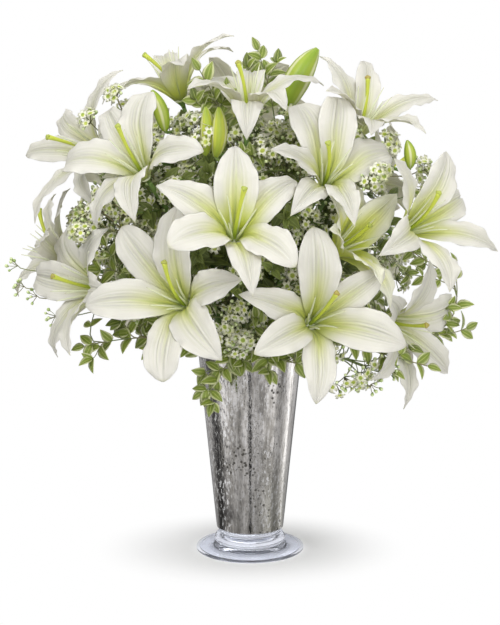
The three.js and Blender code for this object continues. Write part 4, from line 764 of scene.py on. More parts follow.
# Cup and knob are height and radius. Style and bud are a share of the length and the radius there. The
# further leaves have a least value and a spread.
stemForm = {"radius": 3.0, "stalk": 2.2, "sides": 14, "mouthHigh": 221, "footHigh": 31.5, "mouthRing": 33,
            "footRing": 15, "twist": 20, "behind": 9.3, "leafColumns": 7, "leafRows": 13, "leafLean": 0.7,
            "leafDroop": 0.5, "sideStalk": (2.5, 2.2), "budStalk": (1.8, 1.6), "budSides": 30,
            "moreLeaves": 9, "moreAt": (0.04, 0.66), "moreLong": (44, 26), "moreSlim": 0.13,
            "moreDroop": (0.3, 0.5), "moreTone": 0.7, "fillLeaf": 1.15,
            "cup": [[-9.3, 2.2], [-7, 2.4], [-4.5, 3.6], [-3, 4.7], [-2.3, 4.8]],
            "style": [[0, 2.6], [0.12, 1.8], [0.6, 1.6], [0.85, 1.95], [0.96, 2.5], [1, 2.8]],
            "knob": [[-1.8, 2.3], [-0.7, 3.1], [0.3, 3.4], [1.2, 3.2], [1.8, 2.2], [2.0, 1.0]],
            "bud": [[0, 0.3], [0.08, 0.62], [0.22, 0.86], [0.4, 1], [0.55, 0.98], [0.7, 0.86], [0.85, 0.62],
                    [0.96, 0.34], [1, 0.12]]}


def aroundAxis(angle, ring, high):
    # A place at an angle and a distance from the vase's axis.
    return np.array([ring * math.cos(math.radians(angle)), ring * math.sin(math.radians(angle)), high])


def behind(bloom):
    # The end of a bloom's stalk.
    return np.array(bloom["at"]) - stemForm["behind"] * bloomAxes(bloom["facing"])["axis"]


def bendOf(one):
    # The bezier curve of a stem, a spray or a sprig beyond the vase's mouth.
    if "top" in one:
        start, end = (one["mouth"], stemForm["mouthRing"]), behind(byName[one["top"]])
    else:
        start, end = one["mouth"][::2], one["tip"] if "tip" in one else one["umbels"][0][1]
    return [aroundAxis(*start, stemForm["mouthHigh"]), *one["via"], end]


def leafSkin(bend, share, turn, long, wide, tone, droop):
    # The blade leans from its stalk and arches over. It is folded up from its midrib, a little wavy.
    stalk = way(bend, share)
    start, aside = unit(stalk), turned(stalk, turn)
    away = unit(aside - (aside @ start) * start)
    across = np.cross(start, away)
    t = np.linspace(0.01, 0.995, stemForm["leafRows"])[:, None]
    s, face = twoFaces(np.sin(np.linspace(1, -1, stemForm["leafColumns"]) * math.pi / 2))
    half = wide * np.sin(math.pi * t ** 0.8) ** 0.8
    angle = stemForm["leafLean"] + droop * t
    ahead = np.cos(angle)[..., None] * start + np.sin(angle)[..., None] * away
    up = np.sin(angle)[..., None] * start - np.cos(angle)[..., None] * away
    lift = 0.3 * half * np.abs(s) + 0.05 * wide * np.sin(9 * t + 2 * s + 6 * tone) + 0.32 * face
    root = pointOn(bend, share)
    rings = root + ahead * (long * t)[..., None] + across * (s * half)[..., None] + up * lift[..., None]
    return skin(rings, stacked(s, t, tone), lilyLeafPaint, stacked(face, 0, 0))


def styleLobes(a, share):
    # Three slight ribs, the same at every share.
    return 1 + 0.06 * np.cos(3 * a)


def knobLobes(a, share):
    # Three lobes, deepest halfway up.
    return 0.86 + 0.16 * np.cos(3 * a) * np.sin(math.pi * np.clip(share, 0, 1)) ** 0.5


def budLobes(a, share):
    # Three ribs with seams between, deepest halfway up.
    return 1 + (0.07 * np.cos(3 * a) + 0.03 * np.abs(np.cos(3 * a))) * np.sin(math.pi * share) ** 0.4


def pistilSkins(bloom):
    # A cup under the bloom, the style along a curve through its middle, and a stigma of three lobes.
    axes = bloomAxes(bloom["facing"])
    axis = axes["axis"]
    centre = np.array(bloom["at"], float)
    long, lean, turn = bloom["style"]
    lean = math.radians(lean)
    tip = centre + axis * long * math.cos(lean) + spoke(axes, turn) * long * math.sin(lean)
    curve = [centre - 2.3 * axis, centre + 0.5 * long * axis, tip]
    shares = np.linspace(0, 1, 26)
    cup, knob = np.array(stemForm["cup"]), np.array(stemForm["knob"])
    tone = (int(bloom["name"]) * 0.63) % 1
    radius = looked(stemForm["style"], shares)
    return [tube(centre + cup[:, :1] * axis, cup[:, 1], 14, stemPaint),
            tube(bezier(curve, shares), radius, 12, stylePaint, tone, styleLobes),
            tube(tip + knob[:, :1] * way(curve, 0.999), knob[:, 1], 18, stigmaPaint, tone, knobLobes)]


def budSkins(bend, one):
    # A stalk from the stem to the bud's base. The bud's radius follows a smoothed profile.
    stalk = [pointOn(bend, one["from"]), *one["via"], one["base"]]
    base, tip = np.array(one["base"], float), np.array(one["tip"], float)
    shares = np.linspace(0, 1, 40)
    wide = np.convolve(np.pad(looked(stemForm["bud"], shares), 2, "edge"), [0.1, 0.2, 0.4, 0.2, 0.1], "valid")
    bow = turned(unit(tip - base), 90) * 0.05 * np.linalg.norm(tip - base)
    path = base + (tip - base) * shares[:, None] + bow * np.sin(math.pi * shares)[:, None]
    return [limb(stalk, 22, stemForm["budStalk"], 10, stemPaint),
            tube(path, one["wide"] * wide, stemForm["budSides"], budPaint, one["tone"], budLobes)]


def stemPiece(stem, number):
    # The stem runs straight through the vase and bends to its top bloom. The rest grows from the bend.
    p = stemForm
    rng = np.random.default_rng([seeds["stem"], number])
    foot = aroundAxis(stem["mouth"] - p["twist"], p["footRing"], p["footHigh"])
    bend = bendOf(stem)
    straight = foot + (bend[0] - foot) * np.linspace(0, 0.98, 10)[:, None]
    path = np.concatenate([straight, bezier(bend, np.linspace(0, 1, 46))])
    radius = np.concatenate([np.full(48, p["radius"]), np.linspace(p["radius"], p["stalk"], 8)])
    skins = [tube(path, radius, p["sides"], stemPaint), *pistilSkins(byName[stem["top"]])]
    for name, share, *via in stem["sides"]:
        stalk = [pointOn(bend, share), *via, behind(byName[name])]
        skins += [limb(stalk, 34, p["sideStalk"], 12, stemPaint), *pistilSkins(byName[name])]
    for one in stem["buds"]:
        skins += budSkins(bend, one)
    for share, turn, long, wide in stem["leaves"]:
        skins.append(leafSkin(bend, share, turn, long, wide, rng.random(), p["leafDroop"]))
    for i in range(p["moreLeaves"]):
        share = p["moreAt"][0] + p["moreAt"][1] * (i + rng.random() * 0.6) / p["moreLeaves"]
        long = p["moreLong"][0] + p["moreLong"][1] * rng.random()
        turn = goldenAngle * i + 40 * rng.random()
        tone = rng.random() * p["moreTone"]
        droop = p["moreDroop"][0] + p["moreDroop"][1] * rng.random()
        skins.append(leafSkin(bend, share, turn, long, long * p["moreSlim"], tone, droop))
    paints = {twigPaint: stemPaint, sprigLeafPaint: lilyLeafPaint}
    for start, heading, end in leafFill.get(stem["name"], []):
        for made in leafyTwig(start, heading, end, 4, fillForm["leaf"] * p["fillLeaf"], rng):
            skins.append({**made, "finish": paints[made["finish"]]})
    meshPiece(f"stem{stem['name'].upper()}", skins, f"lily_stem_{stem['name']}")


# Wax flower sprays. Mouth is an angle and the ring at the twig's foot and at the mouth. Each umbel has its
# share and middle points, its root, the way it faces, its reach and its spread. A twig with buds is its
# share and end.
sprays = [
    {"name": "1", "mouth": [193, 37, 45], "via": [[-70, -13, 277], [-104, -50, 331]],
     "twigs": [[0.4, [-244, -20, 312]], [0.4, [-236, -34, 292]], [0.35, [-222, -36, 282]],
               [0.3, [-202, -44, 262]], [0.6, [-150, -70, 392]], [0.7, [-166, -60, 372]]],
     "umbels": [
         [None, [-146, -105, 375], [-0.54, -0.78, 0.31], 15, 55],
         [[0.78, [-135, -96, 366], [-131, -87, 347]], [-164, -101, 354], [-0.52, -0.73, 0.27], 14, 55],
         [[0.74, [-120, -81, 359], [-126, -91, 375]], [-134, -110, 383], [-0.49, -0.8, 0.34], 14, 50]]},
    {"name": "2", "mouth": [153, 37, 45], "via": [[-57, 20, 332], [-111, -6, 414]],
     "umbels": [
         [None, [-135, -45, 486], [-0.43, -0.56, 0.67], 13, 50],
         [[0.45, [-97, -2, 404], [-101, 9, 391]], [-163, -39, 461], [-0.64, -0.61, 0.66], 14, 60],
         [[0.74, [-112, -15, 429], [-77, -14, 440]], [-64, -34, 453], [-0.29, -0.61, 0.77], 16, 55]]},
    {"name": "3", "mouth": [238, 10, 20], "via": [[-21, -36, 308], [-46, -38, 368]],
     "umbels": [
         [None, [-64, -61, 405], [-0.33, -0.74, 0.58], 14, 50],
         [[0.83, [-61, -52, 392], [-74, -44, 376]], [-88, -54, 373], [-0.5, -0.74, 0.45], 15, 55],
         [[0.81, [-44, -51, 381], [-45, -56, 392]], [-43, -63, 405], [-0.23, -0.76, 0.6], 13, 50],
         [[0.77, [-51, -55, 381], [-75, -81, 344]], [-92, -80, 354], [-0.47, -0.83, 0.31], 13, 50]]},
    {"name": "4", "mouth": [300, 10, 20], "via": [[21, -29, 267], [37, -36, 339]],
     "umbels": [
         [None, [51, -54, 384], [0.31, -0.77, 0.55], 14, 50],
         [[0.83, [36, -58, 365], [41, -77, 361]], [43, -79, 355], [0.25, -0.9, 0.36], 14, 55],
         [[0.83, [52, -51, 386], [34, -24, 426]], [25, -23, 449], [0.13, -0.56, 0.82], 13, 50]]},
    {"name": "5", "mouth": [262, 39, 46], "via": [[1, -52, 242], [0, -79, 258]],
     "umbels": [
         [None, [-11, -107, 278], [-0.06, -0.99, -0.08], 14, 55],
         [[0.82, [-8, -94, 264], [-14, -90, 251]], [-8, -98, 249], [-0.05, -0.97, -0.25], 14, 55]]},
    {"name": "6", "mouth": [17, 37, 45], "via": [[53, 10, 287], [89, -10, 377]],
     "umbels": [
         [None, [137, -60, 437], [0.52, -0.64, 0.56], 15, 55],
         [[0.84, [117, -53, 417], [92, -59, 441]], [87, -71, 451], [0.35, -0.69, 0.64], 14, 50],
         [[0.83, [113, -44, 412], [109, -78, 421]], [126, -117, 412], [0.3, -0.83, 0.56], 12, 50],
         [[0.84, [131, -45, 409], [161, -42, 403]], [172, -43, 412], [0.67, -0.58, 0.47], 14, 55]]},
    {"name": "7", "mouth": [302, 39, 46], "via": [[36, -44, 238], [96, -66, 223]], "buds": 9,
     "twigs": [[0.7, [132, -92, 232]], [0.6, [140, -88, 214]], [0.65, [122, -96, 200]]],
     "umbels": [
         [None, [116, -84, 217], [0.52, -0.79, -0.33], 16, 60],
         [[0.85, [104, -84, 222], [104, -93, 215]], [95, -99, 208], [0.41, -0.84, -0.36], 14, 55]]},
    {"name": "8", "mouth": [112, 10, 20], "via": [[-11, 42, 286], [-28, 91, 365]],
     "umbels": [
         [None, [-51, 140, 420], [-0.29, 0.68, 0.68], 16, 55],
         [[0.6, [-32, 93, 350], [-75, 82, 316]], [-137, 89, 327], [-0.88, 0.44, 0.18], 16, 55],
         [[0.57, [-30, 82, 332], [-14, 139, 279]], [-18, 167, 272], [-0.12, 0.98, -0.18], 15, 55]]},
    {"name": "9", "mouth": [60, 10, 20], "via": [[20, 31, 273], [42, 73, 360]],
     "umbels": [
         [None, [60, 131, 420], [0.34, 0.64, 0.69], 16, 55],
         [[0.71, [52, 88, 364], [108, 64, 328]], [142, 89, 318], [0.89, 0.43, 0.12], 16, 55],
         [[0.81, [53, 117, 383], [46, 130, 344]], [51, 158, 341], [0.33, 0.9, 0.27], 15, 55]]},
]

# Small umbels are reach, spread, florets and buds.
waxForm = {"radius": 6.3, "notch": 0.5, "whole": 12, "buds": 4, "twig": (1.3, 0.8), "branch": (0.9, 0.6),
           "side": (0.5, 0.5), "fillTwig": (0.7, 0.45), "budTwig": (0.8, 0.5), "stalk": 0.4, "twigFoot": 140,
           "alongAt": (0.62, 0.86), "along": (11, 65, 3, 4), "fill": (15, 75, 8, 4), "ending": (11, 55, 0, 5),
           "floretWide": [0.4, 2.1, 2.3], "floretHigh": [-3.4, -0.9, 0.1], "heart": -1.3,
           "bud": [[0.4, -2.6], [1.2, -1.5], [1.9, 0.0], [1.5, 1.2], [0.6, 1.9]]}


def floretTemplate():
    # Rings of fifteen points: a stalk end, a cup, a rim of five lobes and an inner ring round the heart.
    p = waxForm
    third = np.arange(15) % 3
    turn = circle(15) + np.array([0, -0.07, 0.07])[third]
    lobe = np.where(third == 0, p["notch"], 1.0)
    flat = 0 * lobe
    stalk, cup, inner = p["floretWide"]
    wide = np.array([stalk + flat, cup + flat, p["radius"] * lobe, inner + 0.5 * lobe])
    stalk, cup, inner = p["floretHigh"]
    high = np.array([stalk + flat, cup + flat, 0.9 * lobe - 0.2, inner + flat])
    rings = stacked(wide * np.cos(turn), wide * np.sin(turn), high)
    made = skin(rings, stacked(wide / p["radius"], high, 0.5), waxPaint)
    made["points"][-1, 2] = p["heart"]
    made["spot"][-1, 0] = 0
    return made


def waxBudTemplate():
    # A small round bud: rings of seven points, widest above its middle.
    wide, high = np.transpose(waxForm["bud"])[..., None]
    turn = circle(7)
    share = np.linspace(0, 1, len(wide))[:, None]
    return skin(stacked(wide * np.cos(turn), wide * np.sin(turn), high), stacked(0, share, 0.5), waxBudPaint)


floretShape = floretTemplate()
waxBudShape = waxBudTemplate()


def umbelSkins(root, facing, reach, spread, florets, buds, rng):
    # Florets stand in a spiral over a dome, each on a thin stalk. The last ones are buds.
    root, facing = np.asarray(root, float), unit(np.asarray(facing, float))
    skins = []
    total = florets + buds
    start = rng.random() * 360
    for i in range(total):
        lean = math.radians(spread * 1.15 * math.sqrt((i + 0.5) / total))
        ahead = facing * math.cos(lean) + turned(facing, start + goldenAngle * i) * math.sin(lean)
        far = reach * (0.85 + 0.3 * rng.random())
        end = root + ahead * far
        grown = 0.8 + 0.3 * rng.random()
        bent = root + ahead * far * 0.5 + turned(ahead, 360 * rng.random()) * 1.2
        last = end - ahead * (3.0 if i < florets else 2.2) * grown
        skins.append(tube(bezier([root, bent, last], [0, 0.35, 0.7, 1]), waxForm["stalk"], 4, twigPaint))
        nod = unit(ahead + turned(ahead, 360 * rng.random()) * 0.35)
        shape = floretShape if i < florets else waxBudShape
        skins.append(placed(shape, end, nod, grown, rng.random() ** 2, spin=6 * rng.random()))
    return skins


def onCurve(curve, share):
    # A point of a curve, and the direction there.
    return pointOn(curve, share), way(curve, share)


def twigPath(bend, one):
    # A straight line up to the vase's mouth, then the bend.
    angle, ring, _ = one["mouth"]
    foot = aroundAxis(angle, ring, waxForm["twigFoot"])
    straight = foot + (bend[0] - foot) * np.linspace(0, 0.97, 6)[:, None]
    return np.concatenate([straight, bezier(bend, np.linspace(0, 1, 34))])


def sprayPiece(spray, number):
    # A twig from the mouth to its first umbel, branches to the others, and small umbels along the way.
    p = waxForm
    rng = np.random.default_rng([seeds["spray"], number])
    bend = bendOf(spray)
    skins = [tube(twigPath(bend, spray), np.linspace(*p["twig"], 40), 8, twigPaint)]
    buds = spray.get("buds", p["buds"])
    for branch, root, facing, reach, spread in spray["umbels"]:
        curve = bend
        if branch:
            curve = [pointOn(bend, branch[0]), *branch[1:], root]
            skins.append(limb(curve, 18, p["branch"], 6, twigPaint))
        reach = reach * (1 + 0.03 * (buds - p["buds"]))
        skins += umbelSkins(root, facing, reach, spread, p["whole"] - buds, buds, rng)
        for share in p["alongAt"]:
            start, ahead = onCurve(curve, share)
            aim = unit(0.5 * ahead + turned(ahead, 360 * rng.random()) + 0.5 * unit(np.array(facing)))
            end = start + aim * (14 + 8 * rng.random())
            skins.append(limb([start, start + ahead * 5, end], 6, p["side"], 5, twigPaint))
            skins += umbelSkins(end, unit(aim + np.array(facing)), *p["along"], rng)
    for start, heading, end in waxFill.get(spray["name"], []):
        far = np.linalg.norm(end - start)
        curve = [start, start + heading * far * 0.4, end - outwards(end) * far * 0.3, end]
        skins.append(limb(curve, 9, p["fillTwig"], 5, twigPaint))
        skins += umbelSkins(end, outwards(end), *p["fill"], rng)
    for share, end in spray.get("twigs", []):
        start, ahead = onCurve(bend, share)
        end = np.array(end, float)
        curve = [start, start + ahead * 30, end - np.array([0, 0, 12.0]), end]
        skins.append(limb(curve, 14, p["budTwig"], 5, twigPaint))
        skins += umbelSkins(end, outwards(end), *p["ending"], rng)
    meshPiece(f"waxSpray{spray['name']}", skins, f"wax_spray_{spray['name']}")


# Leafy sprigs. Mouth is as for the sprays. Most leaves stand in pairs from the share leafy of the curve on.
sprigKeys = ["name", "mouth", "via", "tip", "leafy", "pairs", "sideTwigs"]
sprigs = [dict(zip(sprigKeys, row)) for row in [
    ["01", [228, 37, 45], [[-44, -29, 230], [-89, -68, 254]], [-170, -66, 234], 0.6, 3],
    ["02", [246, 40, 47], [[-20, -42, 264], [-8, -85, 214]], [-48, -76, 188], 0.5, 3],
    ["03", [285, 40, 47], [[10, -43, 246], [-15, -83, 225]], [53, -84, 219], 0.5, 3],
    ["04", [0, 10, 20], [[31, -11, 341], [43, 19, 440]], [8, 5, 536], 0.86, 2],
    ["05", [180, 10, 20], [[-38, -5, 335], [29, -18, 384]], [-51, -47, 514], 0.88, 2],
    ["06", [330, 10, 20], [[11, -2, 247], [33, -70, 360]], [12, -60, 436], 0.6, 3],
    ["07", [205, 37, 46], [[-43, -11, 255], [-89, -100, 223]], [-143, -102, 341], 0.8, 2],
    ["08", [355, 37, 46], [[42, -9, 317], [246, -19, 152]], [215, -22, 312], 0.8, 2, 1],
    ["09", [329, 37, 46], [[54, -5, 285], [167, -37, 220]], [228, -24, 246], 0.82, 2, 1],
    ["10", [318, 39, 46], [[40, -29, 251], [55, -77, 250]], [180, -87, 217], 0.8, 2],
    ["11", [125, 37, 46], [[-24, 38, 271], [-77, 81, 261]], [-152, 118, 262], 0.6, 3],
    ["12", [72, 37, 46], [[12, 39, 251], [69, 81, 247]], [150, 122, 262], 0.6, 3],
    ["13", [96, 39, 47], [[0, 86, 256], [4, 83, 234]], [-8, 98, 196], 0.5, 3],
]]

# The leaf's columns are the share across it and its face, and its rows are shares of its length.
sprigForm = {"twig": (1.1, 0.55), "leaf": 24, "tipLeaf": 15, "morePairs": 4, "sideTwigs": 3, "sideLong": 24,
             "sideLeaf": 0.95, "thinTwig": (0.75, 0.4), "slim": 0.31, "fold": 0.28, "droop": 0.16,
             "thick": 0.014, "rows": [0.02, 0.14, 0.32, 0.54, 0.76, 0.91, 0.985],
             "columns": [[1, 0], [0.5, 0.9], [0, 1], [-0.5, 0.9], [-1, 0], [-0.5, -0.9], [0, -1],
                         [0.5, -0.9]]}


def smallLeafTemplate():
    # One unit long along z, facing y. Its half width follows a sine, it is folded at its rib and it droops.
    p = sprigForm
    s, face = np.transpose(p["columns"])
    t = np.array(p["rows"])[:, None]
    half = p["slim"] * np.sin(math.pi * t ** 0.75) ** 0.85
    high = p["fold"] * half * np.abs(s) + p["thick"] * face + 0.05 * np.sin(math.pi * t) - p["droop"] * t ** 2
    return skin(stacked(half * s, high, t), stacked(s, t, 0.5), sprigLeafPaint, stacked(face, 0, 0))


smallLeafShape = smallLeafTemplate()


def leafPair(curve, share, turn, long, rng):
    # Two leaves on opposite sides of a twig. At turn 0 they lie square to the light, and at 90 along it.
    root, ahead = onCurve(curve, share)
    light = towardsLight(root)
    level = unit(np.cross(ahead, light))
    over = np.cross(level, ahead)
    a = math.radians(turn)
    skins = []
    for side in (1, -1):
        aside = side * (level * math.cos(a) + over * math.sin(a))
        lean = 0.75 + 0.4 * rng.random()
        along = ahead * math.cos(lean) + aside * math.sin(lean)
        facing = light + 0.7 * (rng.random(3) - 0.5)
        # Painted shade: tone is partly random, partly how far out the leaf stands; deep ones are painted
        # darker.
        tone = 0.35 * rng.random() + 0.65 * ease(farOut(root), 0.7, 1.0)
        skins.append(placed(smallLeafShape, root, along, long * (0.8 + 0.3 * rng.random()), tone, facing))
    return skins


def farOut(place):
    # The distance from the bouquet's middle, as a share of its reach that way.
    return np.linalg.norm((np.asarray(place) - fillForm["centre"]) / fillForm["reach"])


def towardsLight(place):
    # Forward in front and backward behind, a little outwards and half up.
    x, y, _ = place
    return unit(np.array([x / 200, math.tanh((y - 30) / 30), 0.5]))


def outwards(place):
    # Away from the bouquet's middle, and somewhat up.
    return unit(unit(np.asarray(place, float) - np.array(fillForm["centre"])) + np.array([0, 0, 0.35]))


def leafyTwig(start, heading, end, pairs, long, rng):
    # A thin side twig that leaves along the heading. Its pairs of leaves grow smaller towards its tip.
    far = np.linalg.norm(end - start)
    curve = [start, start + heading * far * 0.4, end - outwards(end) * far * 0.25, end]
    skins = [limb(curve, 9, sprigForm["thinTwig"], 5, twigPaint)]
    for i, share in enumerate(np.linspace(0.35, 0.95, pairs)):
        skins += leafPair(curve, share, 50 * (i % 2) - 25 + 40 * rng.random(), long * (1 - 0.3 * share), rng)
    skins.append(placed(smallLeafShape, end, way(curve, 0.99), long * 0.7, rng.random(), towardsLight(end)))
    return skins


# Small side growth fills the gaps between the blooms. A shell is a share of the bouquet's reach and a count
# of places. More is places for leaves and florets alike, and florets for them alone. The space before a
# bloom that stays clear is a cone with a slope, from behind it to before it and as wide as beside.
fillForm = {"centre": [0, 0, 345], "reach": [186, 150, 132], "low": 234, "leaf": 19,
            "more": [
                [-150, 12, 340], [-128, 20, 330], [-162, 4, 362], [-140, 25, 372], [-118, 28, 352],
                [-150, 18, 310], [-140, 8, 390], [-135, 15, 318]],
            "florets": [
                [-88, -72, 378], [-74, -72, 362], [-98, -66, 362], [22, -60, 430], [37, -56, 418],
                [8, -60, 416], [46, -48, 440], [54, -82, 374], [34, -86, 343], [62, -80, 348],
                [-158, -28, 352], [-172, -18, 338], [-146, -38, 366], [-178, -10, 356], [-150, -34, 330],
                [-165, -22, 372], [-106, -76, 372], [-112, -62, 388], [-100, -84, 352], [-84, -84, 350]],
            "shells": [[0.40, 26], [0.62, 80], [0.80, 130], [0.95, 170]],
            "slope": 0.40, "behind": 20, "before": 70, "beside": 104}


def fillPlaces():
    # Points spiral evenly over each shell. One that lies in or before a bloom is left out.
    p = fillForm
    places = []
    for share, count in p["shells"]:
        i = np.arange(count) + 0.5
        high = 1 - 2 * i / count
        turn = math.pi * (3 - math.sqrt(5)) * i
        level = np.sqrt(1 - high ** 2)
        sphere = stacked(level * np.cos(turn), level * np.sin(turn), high)
        places.append(p["centre"] + share * np.array(p["reach"]) * sphere)
    places = np.concatenate(places)
    free = places[:, 2] > p["low"]
    for bloom in blooms:
        axis = bloomAxes(bloom["facing"])["axis"]
        away = places - bloom["at"]
        height = away @ axis
        aside = np.linalg.norm(away - height[:, None] * axis, axis=1)
        ahead = (height > p["slope"] * aside - p["behind"]) & (height < p["before"])
        free &= ~(ahead & (aside < p["beside"]))
    return np.concatenate([places[free], p["more"]])


def carriers(table, places):
    # Each place goes to the nearest point of a curve. A point that isn't well below it counts as further.
    shares = np.linspace(0.05, 0.92, 24)
    bends = [bendOf(one) for one in table]
    points = np.concatenate([bezier(bend, shares) for bend in bends])
    headings = [unit(bezier(bend, shares + 0.01) - bezier(bend, shares - 0.01)) for bend in bends]
    headings = np.concatenate(headings)
    gap = places[:, None] - points[None]
    cost = np.linalg.norm(gap, axis=-1) + 1.5 * np.maximum(0, 8 - gap[..., 2])
    given = {}
    for place, i in zip(places, cost.argmin(axis=1)):
        name = table[i // len(shares)]["name"]
        given.setdefault(name, []).append((points[i], headings[i], place))
    return given


fill = fillPlaces()
waxFill = carriers(sprays, np.concatenate([fill[::2], fillForm["florets"]]))
leafFill = carriers(stems + sprigs, fill[1::2])
print("fill places:", len(fill))


def sprigPiece(sprig, number):
    # Pairs of leaves along a twig, each turned from the pair before, one leaf at the tip, and side twigs.
    p = sprigForm
    rng = np.random.default_rng([seeds["sprig"], number])
    bend = bendOf(sprig)
    leafy = sprig["leafy"]
    skins = [tube(twigPath(bend, sprig), np.linspace(*p["twig"], 40), 7, twigPaint)]
    shares = [*np.linspace(leafy, 0.97, sprig["pairs"] * 2 - 1)]
    shares += [*(leafy * np.linspace(0.45, 0.93, p["morePairs"]))]
    for i, share in enumerate(shares):
        turn = 60 * (i % 2) - 30 + 40 * rng.random()
        skins += leafPair(bend, share, turn, p["leaf"] * (1 - 0.15 * share), rng)
    tip = np.array(sprig["tip"], float)
    skins.append(placed(smallLeafShape, tip, way(bend, 0.999), p["tipLeaf"], 0.6, towardsLight(tip)))
    sideTwigs = sprig.get("sideTwigs", p["sideTwigs"])
    for i, share in enumerate(leafy + (0.9 - leafy) * np.linspace(0, 1, sideTwigs)):
        start, ahead = onCurve(bend, share)
        level = unit(np.cross(ahead, towardsLight(start))) * (1 if i % 2 else -1)
        far = p["sideLong"] * (0.75 + 0.3 * rng.random())
        end = start + far * unit(ahead + level * (0.8 + 0.5 * rng.random()))
        skins += leafyTwig(start, ahead, end, 2, p["leaf"] * p["sideLeaf"], rng)
    for start, heading, end in leafFill.get(sprig["name"], []):
        skins += leafyTwig(start, heading, end, 4, fillForm["leaf"], rng)
    meshPiece(f"leafSprig{sprig['name']}", skins, f"leaf_sprig_{sprig['name']}")


for label, table, makePiece in (("stems:", stems, stemPiece), ("wax sprays:", sprays, sprayPiece),
                                ("leaf sprigs:", sprigs, sprigPiece)):
    for number, one in enumerate(table):
        makePiece(one, number)
    print(label, len(table))


# Vase. A profile is points of radius and height, in three lists. The middle one is smoothed.
vaseForm = {
    "sides": 144,
    "foot": [[[16, 2.9], [34, 2.4], [46, 1.5]], [
        [52, 0.5], [54, 0.05], [57.2, 0], [58.3, 0.5], [58.6, 1.5], [58.2, 2.6], [56.6, 3.4], [50, 4.8],
        [43, 6.3], [38.6, 7.5], [37.0, 8.3], [37.4, 9.2], [38.4, 10.4], [38.7, 12.2], [38.2, 14], [37, 16],
        [35.2, 17.8], [33.6, 19.0], [33.2, 19.8], [33.8, 20.8], [34.4, 21.8], [34.2, 22.9], [33.2, 23.7],
        [31.6, 24.0]],
        [[16, 24.0]]],
    "cup": [[[16, 24.1]], [
        [31.8, 24.15], [33.4, 24.5], [35.0, 25.6], [36.1, 27.0], [36.75, 29.0], [41.6, 78], [46.5, 126.6],
        [51.3, 174.5], [55.75, 219.0], [55.9, 220.4], [55.5, 221.2], [54.6, 221.5], [53.6, 221.3],
        [52.8, 220.4], [52.2, 218.6], [47.8, 174.5], [43.0, 126.6], [38.1, 78], [34.4, 41], [33.2, 36],
        [31.4, 33], [28, 31.3]],
        [[14, 31.0]]]}


def smoothed(profile, steps=5):
    # A Catmull-Rom curve through the points: each stretch follows the slopes of its neighbours.
    p = np.array(profile, float)
    p = np.concatenate([[2 * p[0] - p[1]], p, [2 * p[-1] - p[-2]]])
    t = (np.arange(steps) / steps)[:, None, None]
    a, b, c, d = p[:-3], p[1:-2], p[2:-1], p[3:]
    even = 2 * b + (c - a) * t
    curve = 0.5 * (even + (2 * a - 5 * b + 4 * c - d) * t ** 2 + (3 * b - a - 3 * c + d) * t ** 3)
    return np.concatenate([curve.transpose(1, 0, 2).reshape(-1, 2), p[-2:-1]])


def turnedPiece(name, part, paint, node):
    # Each point of the profile goes round the vase's axis. The first and last are closed towards the axis.
    before, profile, after = vaseForm[part]
    profile = np.concatenate([before, smoothed(profile), after])
    turn = circle(vaseForm["sides"])
    radius, high = profile[:, :1], profile[:, 1:]
    rings = stacked(radius * np.cos(turn), radius * np.sin(turn), high + 0 * turn)
    return meshPiece(name, [skin(rings, 0, paint)], node)


foot = turnedPiece("vaseFoot", "foot", glassPaint, "vase_foot")
foot.visible_shadow = False
turnedPiece("vaseCup", "cup", silverPaint, "vase_cup")
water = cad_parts["water"]
water.data.materials.clear()
water.data.materials.append(waterPaint)
print("vase and water")


# The studio, in metres: a white floor that fades into a white backdrop, soft lights, and a tent that only
# reflections show. The tent's shades are set at angles from the camera's side. A light is place, aim, size
# and power.
studio = {"world": 0.60, "backdrop": 1.0,
          "floorProfile": [[0.001, 0], [0.3, 0], [0.6, 0], [1.05, 0]],
          "backdropProfile": [[0.01, -4], [4, -4], [4.5, 0], [4, 4], [0.01, 4.5]],
          "tentProfile": [[0.063, 0.002], [0.30, 0.002], [0.32, 0.02], [0.32, 0.8], [0.2, 1.1], [0.01, 1.15]],
          "tentColumns": 720, "tentHeights": [0.55, 0.75, 0.9, 1.0, 0.9, 0.8],
          "tentAngles": [
              -180, -166, -150, -128, -116, -110, -86, -78, -68, -50, -30, -8, -3.4, -1.6, 1.6, 3.4, 8, 30,
              44, 54, 72, 86, 100, 110, 120, 132, 150, 166, 180],
          "tentShades": [
              0.03, 0.04, 0.42, 0.62, 0.50, 0.12, 0.08, 0.34, 0.92, 0.86, 0.64, 0.86, 0.55, 0.0, 0.0, 0.50,
              0.60, 0.54, 0.88, 1.20, 0.44, 0.52, 1.20, 1.60, 0.70, 0.62, 0.26, 0.04, 0.03],
          "lights": {"keyLight": [(-1.3, -1.2, 1.8), (0, 0, 0.3), 0.9, 22],
                     "topLight": [(0.3, 0.1, 2.3), (0, 0, 0.2), 1.2, 14],
                     "fillLight": [(0.65, -2.0, 0.6), (0, 0, 0.32), 1.5, 28],
                     "backLight": [(0.3, 1.8, 1.5), (0, 0, 0.35), 1.2, 9]},
          "lens": 81.5, "sensor": 36, "camera": (0, -1.5, 0.473), "cameraDown": 8.1}


def plainFinish(name, colour):
    # A dull colour with faint unevenness. It fades into white light away from the object, and partly so
    # right under its foot, which is clear.
    f = Finish(name)
    place = f.objectPlace()
    shade = f.blend(f.noise(place, 1.2), tuple(c * 0.985 for c in colour), colour)
    dull = f.node("ShaderNodeBsdfDiffuse", values={0: shade})
    far = f.vectors("LENGTH", f.stretched(place, (1.0, 1.25, 1.0)), out=1)
    near = f.vectors("LENGTH", place, out=1)
    faded = (f.step(far, 0.045, 0.175) + f.step(near, 0.068, 0.052) * 0.4).maths("MINIMUM", 1.0)
    light = f.node("ShaderNodeEmission")
    return f.finished(f.node("ShaderNodeMixShader", values={0: faded, 1: dull, 2: light}))


